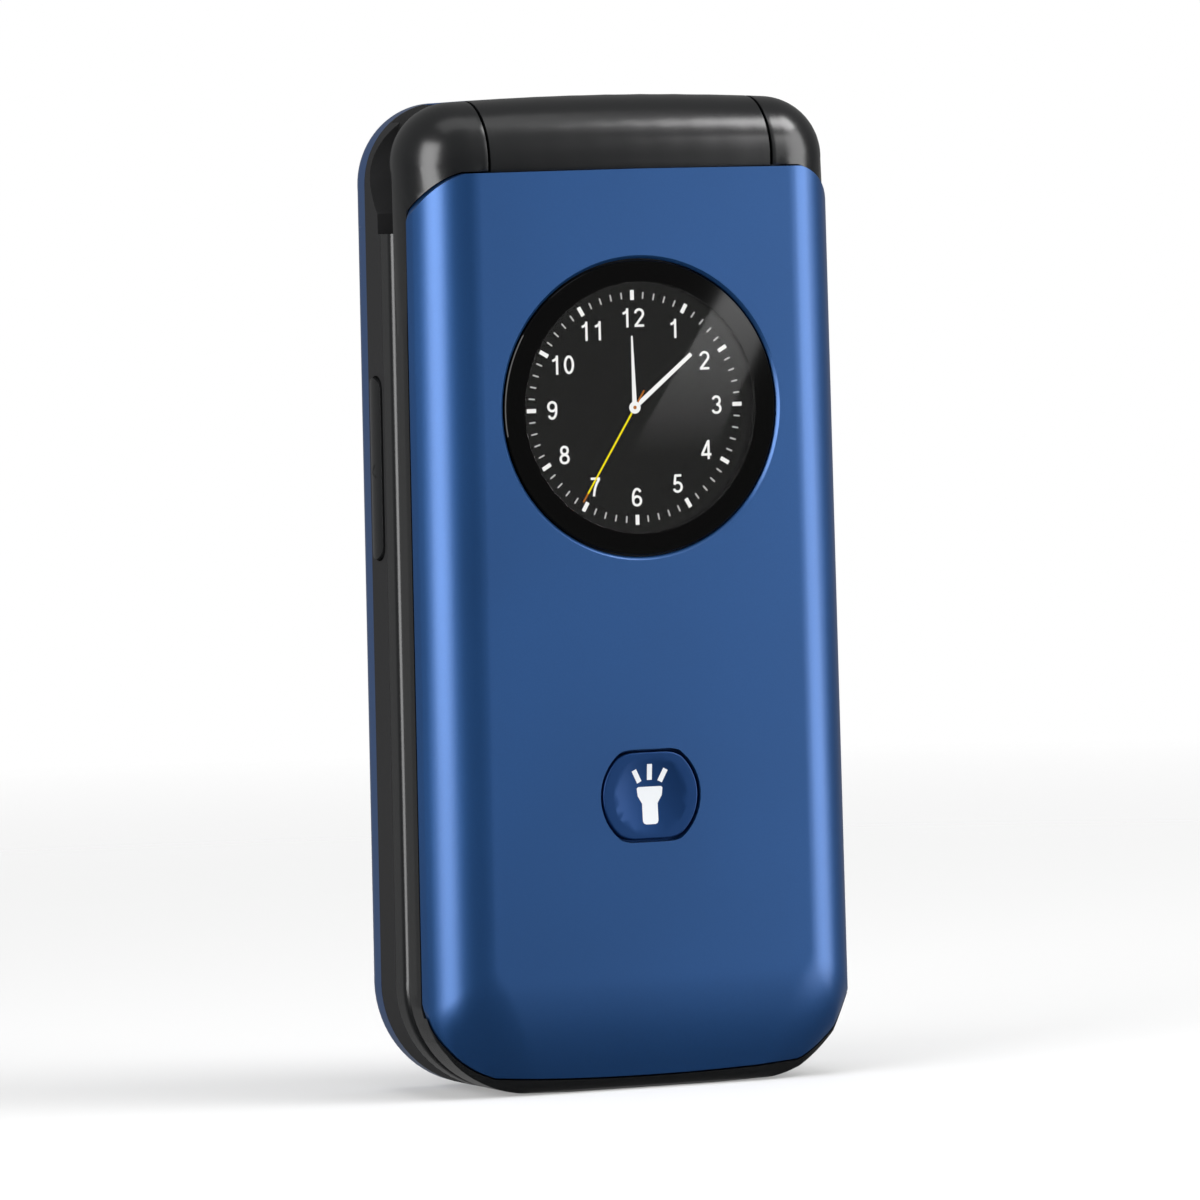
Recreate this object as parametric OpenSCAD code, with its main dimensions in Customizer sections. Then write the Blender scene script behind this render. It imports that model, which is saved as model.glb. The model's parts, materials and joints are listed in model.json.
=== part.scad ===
// Flip phone with a round outer clock window, stored closed and standing on its bottom end.
// X runs across the phone, Y from the lid face (front, -Y) to the battery cover, Z up to the hinge.
// The origin is the centre of the bottom end. Inside the modules "depth" is measured back
// from the lid face, and in_frame() moves a finished piece into the row frame. Sizes in mm.

/* [Body] */
// Height of the closed phone, bottom end to top of the hinge barrel
body_h = 110; // [109.5:0.5:112]
// Width across the bottom end
body_w = 52; // [51.5:0.5:53]
// Thickness, lid face to battery cover
body_t = 20.6; // [20.4:0.1:21.4]
// Lean of each long side towards the hinge end, in degrees
side_taper = 0.3; // [0.2:0.05:0.4]
// Radius of the corners at the hinge end
corner_top = 9; // [8.5:0.5:10]
// Radius of the corners at the bottom end
corner_bottom = 12; // [11:0.5:13]
// Wall of the housings
wall = 1.6; // [1.5:0.1:1.7]
// Radius of the rolled edge of the battery cover
back_roll = 2.4; // [1.5:0.1:2.8]

/* [Lid] */
// Thickness of the closed lid
lid_t = 8.9; // [8.9:0.1:9.1]
// Free gap between the closed lid and the lower housing
lid_gap = 0.5; // [0.5:0.05:0.6]
// Sheet thickness of the lid cover
cover_t = 1.1; // [1:0.05:1.1]
// Radius of the rolled long edges of the lid cover
cover_roll = 7; // [6.5:0.25:7.5]
// Depth at which the cover's long edge ends
cover_edge = 5.3; // [5:0.1:5.4]
// Height of the frame band under the cover's bottom edge
chin_h = 1.65; // [1.4:0.05:1.9]
// Gap round the cover, between it and the frame
cover_gap = 0.2; // [0.15:0.05:0.3]

/* [Hinge] */
// Radius of the hinge barrel at its middle
barrel_r = 7.3; // [7.2:0.05:7.4]
// Length of the hinge barrel
barrel_l = 33.6; // [33:0.2:34]
// Gap between the barrel and each knuckle
knuckle_gap = 0.35; // [0.3:0.05:0.5]
// Radius of the knuckle domes
dome_r = 6.8; // [6.7:0.05:6.9]
// Depth of the hinge axis behind the lid face
hinge_d = 7.9; // [7.85:0.05:8]

/* [Window and torch] */
// Radius of the round opening in the lid cover
window_r = 16.45; // [16:0.05:16.6]
// Height of the window centre
window_z = 75.4; // [75:0.1:75.4]
// Height of the torch key centre
torch_z = 32.6; // [30:0.2:36]
// Radius of the torch key's round sides
torch_r = 5.7; // [5.3:0.1:6]
// Half height of the torch key between its flats
torch_half_h = 4.8; // [4.4:0.1:5]

/* [Keypad] */
// Width of a number key
key_w = 13; // [12:0.2:13]
// Height of a number key
key_h = 8.6; // [8:0.2:8.8]
// Spacing of the number keys across the phone
key_pitch_x = 14.4; // [14.2:0.1:14.4]
// Spacing of the number keys along the phone
key_pitch_z = 10.4; // [10.2:0.1:10.4]
// Gap round every key
key_gap = 0.2; // [0.15:0.05:0.25]
// Height of the middle of the navigation ring
nav_z = 63.5; // [63:0.5:65]
// Length of the volume key on the left side
volume_l = 20; // [18:0.5:21]
// Height of the volume key centre
volume_z = 69.2; // [68:0.2:70]

/* [Battery] */
// Width of the battery
battery_w = 34; // [32:0.5:35]
// Height of the battery
battery_h = 52; // [50:0.5:52]

/* [Hidden] */
$fn = 64;
fine = 96;                                   // facets of the long, visible curves
flat_arc = 720;                              // facets of the very large circles
far = 150;                                   // half size of a block that only limits
cut = 0.1;                                   // overlap of a cutter past a face
slack = 0.02;                                // gap round a piece that is held
run_gap = 0.3;                               // free gap round a moving curved face
half_w = body_w / 2;
base_d = lid_t + lid_gap;                    // face of the lower housing
seam_d = base_d + 2.9;                       // joint between front housing and side band
band_d = body_t - 4;                         // joint between side band and battery cover
top_crown = 300;                             // radius of the arched hinge end
bottom_crown = 270;                          // radius of the arched bottom end
crown_flat = 0.15;                           // depth cut off the bottom arc, to stand on
lid_bevel = 0.6;                             // rounding of the lid's inner edge
base_bevel = 1;                              // rounding of the lower housing's front edge

// Right-hand corners of the outline: u runs across and v along the leaning side. Each corner
// circle touches that side and the arc of its own end.
lower_axis = bottom_crown - crown_flat;
upper_axis = body_h - top_crown;
lower_v = touch_v(corner_bottom, lower_axis, bottom_crown, -1);
upper_v = touch_v(corner_top, upper_axis, top_crown, 1);
lower_corner = lean(half_w - corner_bottom, lower_v);
upper_corner = lean(half_w - corner_top, upper_v);
lower_turn = atan2(lower_corner.y - lower_axis, lower_corner.x);
upper_turn = atan2(upper_corner.y - upper_axis, upper_corner.x);
core_inset = 0.3;                            // flat margin between a block's core and its rounding
rim_inset = 1.5;                             // how far the end rims stop short of those centres
hair = slack / 2;                            // smallest step between two pieces of one block

// hinge
hinge_z = body_h - barrel_r;
hinge_half_w = half_w - hinge_z * tan(side_taper);
dome_x = hinge_half_w - dome_r;
seam_x = barrel_l / 2;
knuckle_x = seam_x + knuckle_gap;
barrel_clear = barrel_r + run_gap;
dome_clear = dome_r + run_gap;
room_z = hinge_z - dome_clear - 0.4;         // floor of the room round each knuckle
arm_z = 84;                                  // height where each arm blends into the side
arm_lap = 0.3;                               // overlap of the arm with the side below it
arm_r = half_w - arm_z * tan(side_taper) - dome_x;
slot_d = hinge_d + 8.3;                      // wall behind the hinge, clear of the turned lid
slot_z = hinge_z + 1.5;                      // floor of the slot behind the barrel
knuckle_wall = 1.3;                          // thin wall of the housing beside each dome
knuckle_d = seam_d + 0.7;                    // front edge of that wall
bush_r = 3.2;                                // hollow pivot for the flat cable
bush_x0 = 12.4;
bush_x1 = 20.3;
coil_r = 4.28;                               // roll of flat cable inside the barrel
module_r = 3.95;                             // friction hinge module
module_x = 1.5;
module_flat = 3.4;
shaft_r = 1.5;
shaft_fit = 0.05;                            // running clearance of the shaft and the bush
head_r = 2.7;
head_x = 22.4;
tape = 0.2;                                  // thickness of the flat cable

// lid cover and frame
cover_top = hinge_z - 1;
cover_top_corner = 7;
cover_corner = corner_bottom - 0.9;
sole_roll = 32;                              // gentle bend at the cover's lower end
sole_l = 11;
sole_drop = sole_roll - sqrt(pow(sole_roll, 2) - pow(sole_l, 2));
chin_roll = 3.2;                             // rounding of the frame's bottom edge
bar_z = 92;                                  // cross bar that ties the two arms together
window_lip = 0.35;                           // chamfer round the window opening

// inside the lid
glass_gap = 0.2;
lid_display_d = cover_t + 0.1;
lid_display_t = 2.4;
lid_display_w = 33;
lid_board_d = lid_display_d + lid_display_t + 0.1;
lid_board_t = 0.7;
screen_d = lid_board_d + lid_board_t + 0.1;
screen_w = 42.7;
screen_h = 60.3;
screen_t = 2.4;
screen_z = 52;
inner_d = screen_d + screen_t + 0.1;         // plate on the inside of the lid
earpiece_z = 8.7;
lid_screw_x = half_w - 3.6;
lid_screw_z = [17, 86];
bumper_r = 1.35;

// inside the lower housing
plate_t = 1.4;
board_d = base_d + 2.8;
board_t = 0.8;
board_half_w = 21.2;
floor_d = board_d + board_t + 0.1;           // floor of the battery well
floor_t = 0.6;
well_d = floor_d + floor_t + 0.1;
cover_in_d = body_t - 1.4;                   // inner face of the battery cover
battery_z = 11.5;
split_z = 96;                                // top edge of the battery cover
shelf_z = 93.2;                              // wall between the compartment and the hinge
boss_x = half_w - 3.15;
boss_z = [11.5, 47.5, 88];
boss_r = 1.4;
flex_z = 88.2;                               // where the hinge's flat cable meets the board
screw_r = 0.6;
camera_z = 88;
flash_x = 9.5;
speaker_x = -14.4;
speaker_z = 86;
port_w = 8.9;
port_t = 3.1;
port_d = floor_d + port_t / 2 + 0.1;

// keys
face_d = base_d - 0.1;
flange_d = base_d + plate_t + 0.15;
flange_t = 0.4;
flange_w = 0.4;
stem_end = flange_d + flange_t + 0.1;
dome_h = 0.3;
dome_w = 2.3;
key_row = [for (k = [0:3]) 10.4 + k * key_pitch_z];
side_key_x = 18;
side_key_w = 7;
side_key_h = 10;
nav_r = 12;
nav_hole_r = 5;
nav_step = 1.2;                              // how much wider the ring's hole is behind its lip
ok_r = 4.6;
ok_lip = 0.25;                               // how far the ok key's rim reaches behind that lip
volume_w = 3;
volume_crown = 4;                            // radius of the volume key's rounded face
volume_d = (seam_d + band_d) / 2;
rocker_u = half_w - wall - 0.8;              // axis of the round rib that the key rocks on
rocker_r = 0.7;

// ---------- helpers ----------

// Moves a piece drawn in depth coordinates into the row frame.
module in_frame() { translate([0, -body_t / 2, 0]) children(); }

// A flat drawing in X-Z, made solid between two depths.
module slab(d0, d1) {
    translate([0, d1, 0]) rotate([90, 0, 0]) linear_extrude(d1 - d0) children();
}

// A flat drawing in depth-Z, made solid between two X positions.
module cross_slab(x0, x1) {
    translate([x0, 0, 0]) rotate([90, 0, 90]) linear_extrude(x1 - x0) children();
}

// A flat drawing in X-depth, made solid between two heights.
module level_slab(z0, z1) { translate([0, 0, z0]) linear_extrude(z1 - z0) children(); }

// A round peg along the depth.
module peg(x, z, r, d0, d1) { slab(d0, d1) translate([x, z]) circle(r); }

// A box given by its limits.
module span(x0, x1, d0, d1, z0, z1) { translate([x0, d0, z0]) cube([x1 - x0, d1 - d0, z1 - z0]); }

// A round rod on the hinge axis.
module axle(r, x0, x1) {
    translate([x0, hinge_d, hinge_z]) rotate([0, 90, 0]) cylinder(r = r, h = x1 - x0);
}

// A pipe on the hinge axis.
module pipe(r_out, r_in, x0, x1) {
    difference() {
        axle(r_out, x0, x1);
        axle(r_in, x0 - cut, x1 + cut);
    }
}

// A rectangle with round corners, about its centre.
module soft_rect(w, h, r) {
    square([w, h - 2 * r], center = true);
    square([w - 2 * r, h], center = true);
    for (sx = [-1, 1], sz = [-1, 1]) translate([sx * (w / 2 - r), sz * (h / 2 - r)]) circle(r);
}

// The child on both sides of the phone.
module both() {
    children();
    mirror([1, 0, 0]) children();
}

// What is common to the child and its mirror image.
module common_sides() {
    intersection() {
        children();
        mirror([1, 0, 0]) children();
    }
}

// ---------- outlines ----------

function lean(u, v) = [u * cos(side_taper) - v * sin(side_taper),
                       u * sin(side_taper) + v * cos(side_taper)];

// Where along the side a corner circle r touches an end arc of radius end_r about end_z.
function touch_v(r, end_z, end_r, side) =
    let (u = half_w - r, along = end_z * cos(side_taper), across = end_z * sin(side_taper))
    along + side * sqrt(pow(along, 2) - pow(u, 2) - pow(end_z, 2) + 2 * u * across
                        + pow(end_r - r, 2));

// Everything left of the leaning right side. The centres of its round corners are at v0 and v1.
module side_limit(w, v0, v1, r0, r1) {
    rotate(side_taper) {
        translate([-far, v0]) square([far + w, v1 - v0]);
        translate([-far, v0 - r0]) square([far + w - r0, r0 + 1]);
        translate([-far, v1 - 1]) square([far + w - r1, r1 + 1]);
        translate([w - r0, v0]) circle(r0, $fn = fine);
        translate([w - r1, v1]) circle(r1, $fn = fine);
    }
}

// The phone's front outline, drawn in by inset.
module outline(inset = 0) {
    intersection() {
        common_sides() side_limit(half_w - inset, lower_v - slack, upper_v + slack,
                                  corner_bottom - inset, corner_top - inset);
        translate([0, lower_axis]) circle(bottom_crown - inset, $fn = flat_arc);
        translate([0, upper_axis]) circle(top_crown - inset, $fn = flat_arc);
        translate([-far, inset]) square([2 * far, body_h]);
    }
}

// The lid cover's front outline, drawn in by inset.
module cover_outline(inset) {
    intersection() {
        common_sides() side_limit(half_w - inset, chin_h + cover_corner - crown_flat / 2,
                                  cover_top - cover_top_corner,
                                  cover_corner - inset, cover_top_corner - inset);
        translate([0, bottom_crown + chin_h - crown_flat / 2])
            circle(bottom_crown - inset, $fn = flat_arc);
    }
}

// The torch key's outline: a circle cut flat at top and bottom, grown by extra.
module torch_outline(extra) {
    translate([0, torch_z]) intersection() {
        circle(torch_r + extra);
        soft_rect(2 * (torch_r + extra), 2 * (torch_half_h + extra), 3.9);
    }
}

// ---------- rounded bodies ----------

// The section of a block's edge, from radius r_in to r_out, rounded at the front and back.
module edge_profile(r_in, r_out, d0, d1, front_r, back_r) {
    difference() {
        translate([r_in, d0]) square([r_out - r_in, d1 - d0]);
        if (front_r > 0) difference() {
            translate([r_out - front_r, d0 - cut]) square(front_r + cut);
            translate([r_out - front_r, d0 + front_r]) circle(front_r, $fn = fine);
        }
        if (back_r > 0) difference() {
            translate([r_out - back_r, d1 - back_r]) square(back_r + cut);
            translate([r_out - back_r, d1 - back_r]) circle(back_r, $fn = fine);
        }
    }
}

// An edge section swept about an axis along the depth, from angle a0 to a1.
module swept(x, z, a0, a1, facets) {
    translate([x, 0, z]) mirror([0, 1, 0]) rotate([90, 0, 0]) rotate([0, 0, a0])
        rotate_extrude(angle = a1 - a0, $fn = facets) children();
}

// A block with the phone's outline whose front and back edges are rounded. Its flat faces are
// those of one core. The rims round it stand back from them by one, two and three hairs, and the
// four round corners stand a hair proud of the sides and ends.
module eased_block(d0, d1, front_r, back_r) {
    module rim(r_in, r_out, hairs) {
        edge_profile(r_in, r_out, d0 + hairs * hair, d1 - hairs * hair, front_r, back_r);
    }
    difference() {
        union() {
            slab(d0, d1) outline(max(front_r, back_r) + core_inset);
            both() {
                rotate([0, -side_taper, 0]) translate([0, 0, lower_v])
                    linear_extrude(upper_v - lower_v)
                        rim(half_w - corner_bottom, half_w - slack, 1);
                swept(lower_corner.x, lower_corner.y, 0, 360, fine) rim(0, corner_bottom, 2);
                swept(upper_corner.x, upper_corner.y, 0, 360, fine) rim(0, corner_top, 2);
            }
            swept(0, lower_axis, -180 - lower_turn, lower_turn, flat_arc)
                rim(bottom_crown - corner_bottom + rim_inset, bottom_crown - slack, 3);
            swept(0, upper_axis, upper_turn, 180 - upper_turn, flat_arc)
                rim(top_crown - corner_top + rim_inset, top_crown - slack, 3);
        }
        span(-far, far, d0 - cut, d1 + cut, -far, 0);
    }
}

// A block behind depth d0 whose long front edges are rolled.
module rolled_sides(w, r, d0) {
    common_sides() rotate([0, -side_taper, 0]) translate([0, 0, -far / 4])
        linear_extrude(body_h + far / 2) {
            translate([-far, d0]) square([far + w - r, far]);
            translate([-far, d0 + r]) square([far + w, far]);
            translate([w - r, d0 + r]) circle(r, $fn = fine);
        }
}

// A block whose lower end bends back with radius r, starting at depth d0 and height z.
module rolled_end(r, d0, z) {
    cross_slab(-far, far) {
        translate([-far, z]) square([3 * far, 3 * far]);
        translate([d0 + r, z - 3 * far]) square([2 * far, 3 * far + cut]);
        translate([d0 + r, z]) circle(r, $fn = fine);
    }
}

// Bends that carry the rolled side round the bottom corner, at three angles.
module corner_bends(inset) {
    intersection_for (k = [1, 2, 3]) {
        reach = cover_roll + (sole_l - cover_roll) * k / 4;
        drop = cover_edge - (cover_edge - sole_drop) * k / 4;
        bend = (pow(reach, 2) + pow(drop, 2)) / (2 * drop);
        translate([half_w - cover_corner, 0, chin_h + cover_corner]) rotate([0, 22.5 * k - 90, 0])
            rolled_end(bend - inset, inset, reach - cover_corner);
    }
}

// The lid's front surface as a solid block, drawn in by inset.
module lid_pillow(inset) {
    intersection() {
        rolled_sides(half_w - inset, cover_roll - inset, inset);
        rolled_end(sole_roll - inset, inset, chin_h + sole_l);
        common_sides() corner_bends(inset);
    }
}

// The lid cover as a solid block, drawn in by inset.
module cover_form(inset) {
    intersection() {
        lid_pillow(inset);
        slab(-cut, cover_edge) cover_outline(inset);
    }
}

// ---------- hinge shapes ----------

function crown(x) = barrel_r - (barrel_r - dome_r) * pow(x / dome_x, 2);

// The section of a slightly barrel-shaped rod, from x0 to x1 along the hinge axis.
module crown_section(x0, x1, steps) {
    polygon(concat([[0, x0]],
                   [for (k = [0:steps]) let (x = x0 + (x1 - x0) * k / steps) [crown(x), x]],
                   [[0, x1]]));
}

// The children's section, turned about the hinge axis.
module turned_on_axis() {
    translate([0, hinge_d, hinge_z]) rotate([0, 90, 0]) rotate_extrude($fn = fine) children();
}

// One arm of the lid frame with its domed knuckle, on the right side.
module arm() {
    tilt = atan((hinge_d - cover_roll) / (hinge_z - arm_z));
    turned_on_axis() {
        crown_section(knuckle_x, dome_x, 3);
        intersection() {
            translate([0, dome_x]) circle(dome_r, $fn = fine);
            translate([0, dome_x]) square(2 * dome_r);
        }
    }
    intersection() {
        translate([dome_x, hinge_d, hinge_z]) rotate([180 - tilt, 0, 0])
            cylinder(r1 = dome_r - slack, r2 = arm_r, h = hinge_z - arm_z + 2, $fn = fine);
        span(0, far, -cut, lid_t - slack, arm_z - arm_lap, body_h);
    }
}

// The room that a knuckle and its arm need in the lower housing, on the right side.
module knuckle_room() {
    room_x = seam_x + slack;
    axle(dome_clear, room_x, hinge_half_w - knuckle_wall);
    span(room_x, hinge_half_w - 3.2, -cut, slot_d, room_z, body_h + cut);
    span(room_x, far, -cut, knuckle_d, room_z, body_h + cut);
}

// The slot behind the barrel that takes the cover's edge when the lid is open.
module lid_slot() { span(-seam_x - cut, seam_x + cut, -cut, slot_d, slot_z, body_h + cut); }

// ---------- lid ----------

module lid_cover() {
    color("#2a5590") in_frame() difference() {
        cover_form(0);
        intersection() {
            lid_pillow(cover_t);
            slab(-cut, cover_edge + cut) cover_outline(cover_t);
        }
        axle(barrel_clear, -knuckle_x, knuckle_x);
        axle(bush_r + slack, -bush_x1 - slack, -seam_x);
        peg(0, window_z, window_r, -cut, cover_t + cut);
        translate([0, -cut, window_z]) rotate([-90, 0, 0])
            cylinder(r1 = window_r + window_lip + cut, r2 = window_r, h = window_lip + cut, $fn = fine);
        slab(-cut, cover_t + cut) torch_outline(0.35);
    }
}

module lid_frame() {
    color("#26272a") in_frame() difference() {
        union() {
            intersection() {
                eased_block(-1, lid_t, 0, lid_bevel);
                lid_pillow(0);
                rolled_end(chin_roll, 1.55, chin_roll - cut);
                span(-far, far, -cut, lid_t, -cut, arm_z);
            }
            span(-dome_x, dome_x, cover_edge, lid_t, bar_z, hinge_z - dome_r + 2);
            both() arm();
        }
        // seat of the cover
        intersection() {
            lid_pillow(-cover_gap);
            slab(-cut, cover_edge + cover_gap) cover_outline(-cover_gap);
        }
        // inside of the lid
        slab(-cut, lid_t + cut) intersection() {
            outline(wall);
            translate([-far, 0]) square([2 * far, bar_z]);
        }
        axle(barrel_clear, -knuckle_x, knuckle_x);
        // hinge shaft head on the right, pivot bush and flat cable on the left
        axle(head_r + slack, 0, head_x + slack);
        axle(bush_r + slack, -bush_x1 - slack, 0);
        axle(2.9, -23.2, -bush_x1);
        span(-23.2, -20.5, 5.4, 6.2, bar_z - 2, hinge_z);
    }
    color("#26272a") in_frame() both() for (z = lid_screw_z) difference() {
        peg(lid_screw_x, z, 2.1, cover_edge + 0.2, inner_d);
        peg(lid_screw_x, z, screw_r + slack, 0, lid_t);
    }
}

module lid_inner() {
    color("#1d1e20") in_frame() difference() {
        slab(inner_d, lid_t) intersection() {
            outline(wall + 0.1);
            translate([-far, 0]) square([2 * far, bar_z - 0.2]);
        }
        // view opening and seat of the glass
        slab(inner_d - cut, lid_t + cut) translate([0, screen_z]) soft_rect(37.6, 49.8, 0.6);
        slab(lid_t - 0.9, lid_t + cut) translate([0, screen_z]) soft_rect(44.2, 62.2, 2.1);
        // slots over the earpiece
        for (k = [-1, 0, 1]) slab(inner_d - cut, lid_t + cut)
            translate([3.2 * k, earpiece_z]) soft_rect(2.4, 1, 0.45);
        both() for (z = lid_screw_z) {
            peg(lid_screw_x, z, bumper_r + slack, lid_t - 1, lid_t + cut);
            peg(lid_screw_x, z, screw_r + 0.1, inner_d - cut, lid_t);
        }
    }
}

module window_glass() {
    color("#16181b") in_frame() peg(0, window_z, window_r - glass_gap, 0.1, cover_t - 0.05, $fn = fine);
}

module outer_display() {
    color("#2a2b2d") in_frame() difference() {
        slab(lid_display_d, lid_display_d + lid_display_t)
            translate([0, window_z]) soft_rect(lid_display_w, lid_display_w, 1.5);
        peg(0, window_z, 14.6, lid_display_d - cut, lid_display_d + 0.8);
    }
}

module lid_board() {
    color("#1f5a3a") in_frame() slab(lid_board_d, lid_board_d + lid_board_t)
        translate([0, 52]) soft_rect(40, 74, 1.5);
}

module torch_key() {
    color("#24497e") in_frame() {
        difference() {
            slab(0.05, cover_t + 0.2) torch_outline(0);
            translate([0, -29.6, torch_z]) sphere(30, $fn = fine);
        }
        slab(cover_t + 0.15, cover_t + 0.5) torch_outline(1);
        peg(0, torch_z, 1.2, cover_t + 0.4, lid_board_d - 1.55);
    }
}

module torch_switch() {
    color("#b8bcc0") in_frame() {
        span(-2.5, 2.5, lid_board_d - 0.75, lid_board_d - slack, torch_z - 2.5, torch_z + 2.5);
        peg(0, torch_z, 1.3, lid_board_d - 1.05, lid_board_d - 0.7);
    }
}

module main_display() {
    color("#101114") in_frame() slab(screen_d, screen_d + screen_t)
        translate([0, screen_z]) soft_rect(screen_w, screen_h, 0.8);
}

module display_glass() {
    color("#0c0d10") in_frame() slab(lid_t - 0.85, lid_t - 0.1)
        translate([0, screen_z]) soft_rect(44, 62, 2);
}

module earpiece() {
    color("#8d9094") in_frame() {
        slab(screen_d + 0.4, inner_d - 0.3) translate([0, earpiece_z]) soft_rect(12, 6, 2.9);
        slab(inner_d - 0.35, inner_d - slack) translate([0, earpiece_z]) soft_rect(10.5, 4.5, 2.2);
    }
}

module lid_magnet() { color("#9a9da2") in_frame() peg(15.5, 10.5, 2.5, screen_d + 0.4, inner_d - 0.2); }

module lid_screws() {
    color("#85888c") in_frame() both() for (z = lid_screw_z) {
        peg(lid_screw_x, z, screw_r, cover_edge + 0.4, lid_t - 0.9);
        difference() {
            peg(lid_screw_x, z, 1.2, lid_t - 0.95, lid_t - 0.4);
            for (a = [0, 90]) translate([lid_screw_x, 0, z]) rotate([0, a, 0])
                span(-0.75, 0.75, lid_t - 0.6, lid_t, -0.13, 0.13);
        }
    }
}

module bumpers() {
    color("#2b2b2b") in_frame() both() for (z = lid_screw_z)
        peg(lid_screw_x, z, bumper_r, lid_t - 0.38, lid_t + 0.3);
}

// ---------- hinge ----------

module hinge_shaft() {
    color("#b4b7bb") in_frame() {
        axle(shaft_r, module_x + 0.6, knuckle_x + 0.3);
        intersection() {
            axle(head_r, knuckle_x + 0.1, head_x);
            span(0, far, hinge_d - 2.1, hinge_d + 2.1, 0, body_h);
        }
    }
}

module pivot_bush() {
    color("#c9a24a") in_frame() mirror([1, 0, 0]) pipe(bush_r, 2.5, bush_x0, bush_x1);
}

module lid_flex() {
    color("#c77b1f") in_frame() {
        mirror([1, 0, 0]) pipe(2.2, 2.2 - tape, bush_x0 - 0.6, 23);
        span(-23, -20.7, hinge_d - 2.2, hinge_d - 2.2 + tape, bar_z - 3.7, hinge_z);
    }
}

module hinge_housing() {
    color("#9b9ea3") in_frame() difference() {
        intersection() {
            axle(module_r, module_x, seam_x - 0.1);
            span(-far, far, hinge_d - module_flat, hinge_d + module_flat, 0, body_h);
        }
        axle(2.6, module_x + 1.5, seam_x - 2);
        axle(shaft_r + shaft_fit, 0, far);
    }
}

module hinge_clip() {
    color("#6f7277") in_frame() for (x = [3.4, 6.4, 9.4]) difference() {
        pipe(2.55, shaft_r + shaft_fit, x, x + 2.6);
        span(0, far, hinge_d - 0.25, hinge_d + 0.25, hinge_z, body_h);
    }
}

module hinge_flex() {
    color("#c77b1f") in_frame() {
        mirror([1, 0, 0]) {
            pipe(coil_r, coil_r - tape, 2, 11.2);
            pipe(coil_r - 0.7, coil_r - 0.7 - tape, 2, 11.2);
        }
        span(-11.2, -2, hinge_d + coil_r - tape, hinge_d + coil_r, flex_z, hinge_z);
    }
}

// ---------- lower housing ----------

module key_openings() {
    slab(base_d - cut, base_d + plate_t + cut) {
        for (x = [-key_pitch_x, 0, key_pitch_x], z = key_row)
            translate([x, z]) soft_rect(key_w + 2 * key_gap, key_h + 2 * key_gap, 2);
        for (side = [-1, 1], dz = [-6, 6]) translate([side * side_key_x, nav_z + dz])
            soft_rect(side_key_w + 2 * key_gap, side_key_h + 2 * key_gap, 2.4);
        translate([0, nav_z]) circle(nav_r + key_gap, $fn = fine);
    }
}

module base_front() {
    color("#222326") in_frame() difference() {
        union() {
            difference() {
                intersection() {
                    eased_block(base_d, seam_d, base_bevel, 0);
                    span(-far, far, 0, far, -cut, room_z);
                }
                slab(base_d + plate_t, seam_d + cut) intersection() {
                    outline(wall);
                    translate([-far, 0]) square([2 * far, shelf_z]);
                }
                key_openings();
            }
            // web up to the hinge barrel, and the barrel
            span(slack - seam_x, seam_x - slack, base_d, seam_d, room_z - 1, hinge_z - 1);
            turned_on_axis() crown_section(-seam_x, seam_x, 8);
            both() for (z = boss_z) peg(boss_x, z, boss_r, base_d + 1, seam_d - slack);
        }
        // friction hinge module on the right, flat cable and bush on the left
        intersection() {
            axle(module_r + slack, module_x - slack, far);
            span(-far, far, hinge_d - module_flat - slack, hinge_d + module_flat + slack, 0, body_h);
        }
        axle(coil_r + 0.8, -bush_x0 + 0.3, module_x - 1);
        axle(bush_r + shaft_fit, -far, -bush_x0);
        axle(bush_r - 0.5, -bush_x0 - cut, -bush_x0 + 0.4);
        span(-11.5, -1.7, hinge_d + coil_r - 0.5, seam_d + cut, shelf_z - 1, hinge_z);
        both() for (z = boss_z) peg(boss_x, z, screw_r + slack, base_d + 1.5, seam_d + 1);
        peg(9, 3.9, 0.5, 0, far);
    }
}

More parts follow.
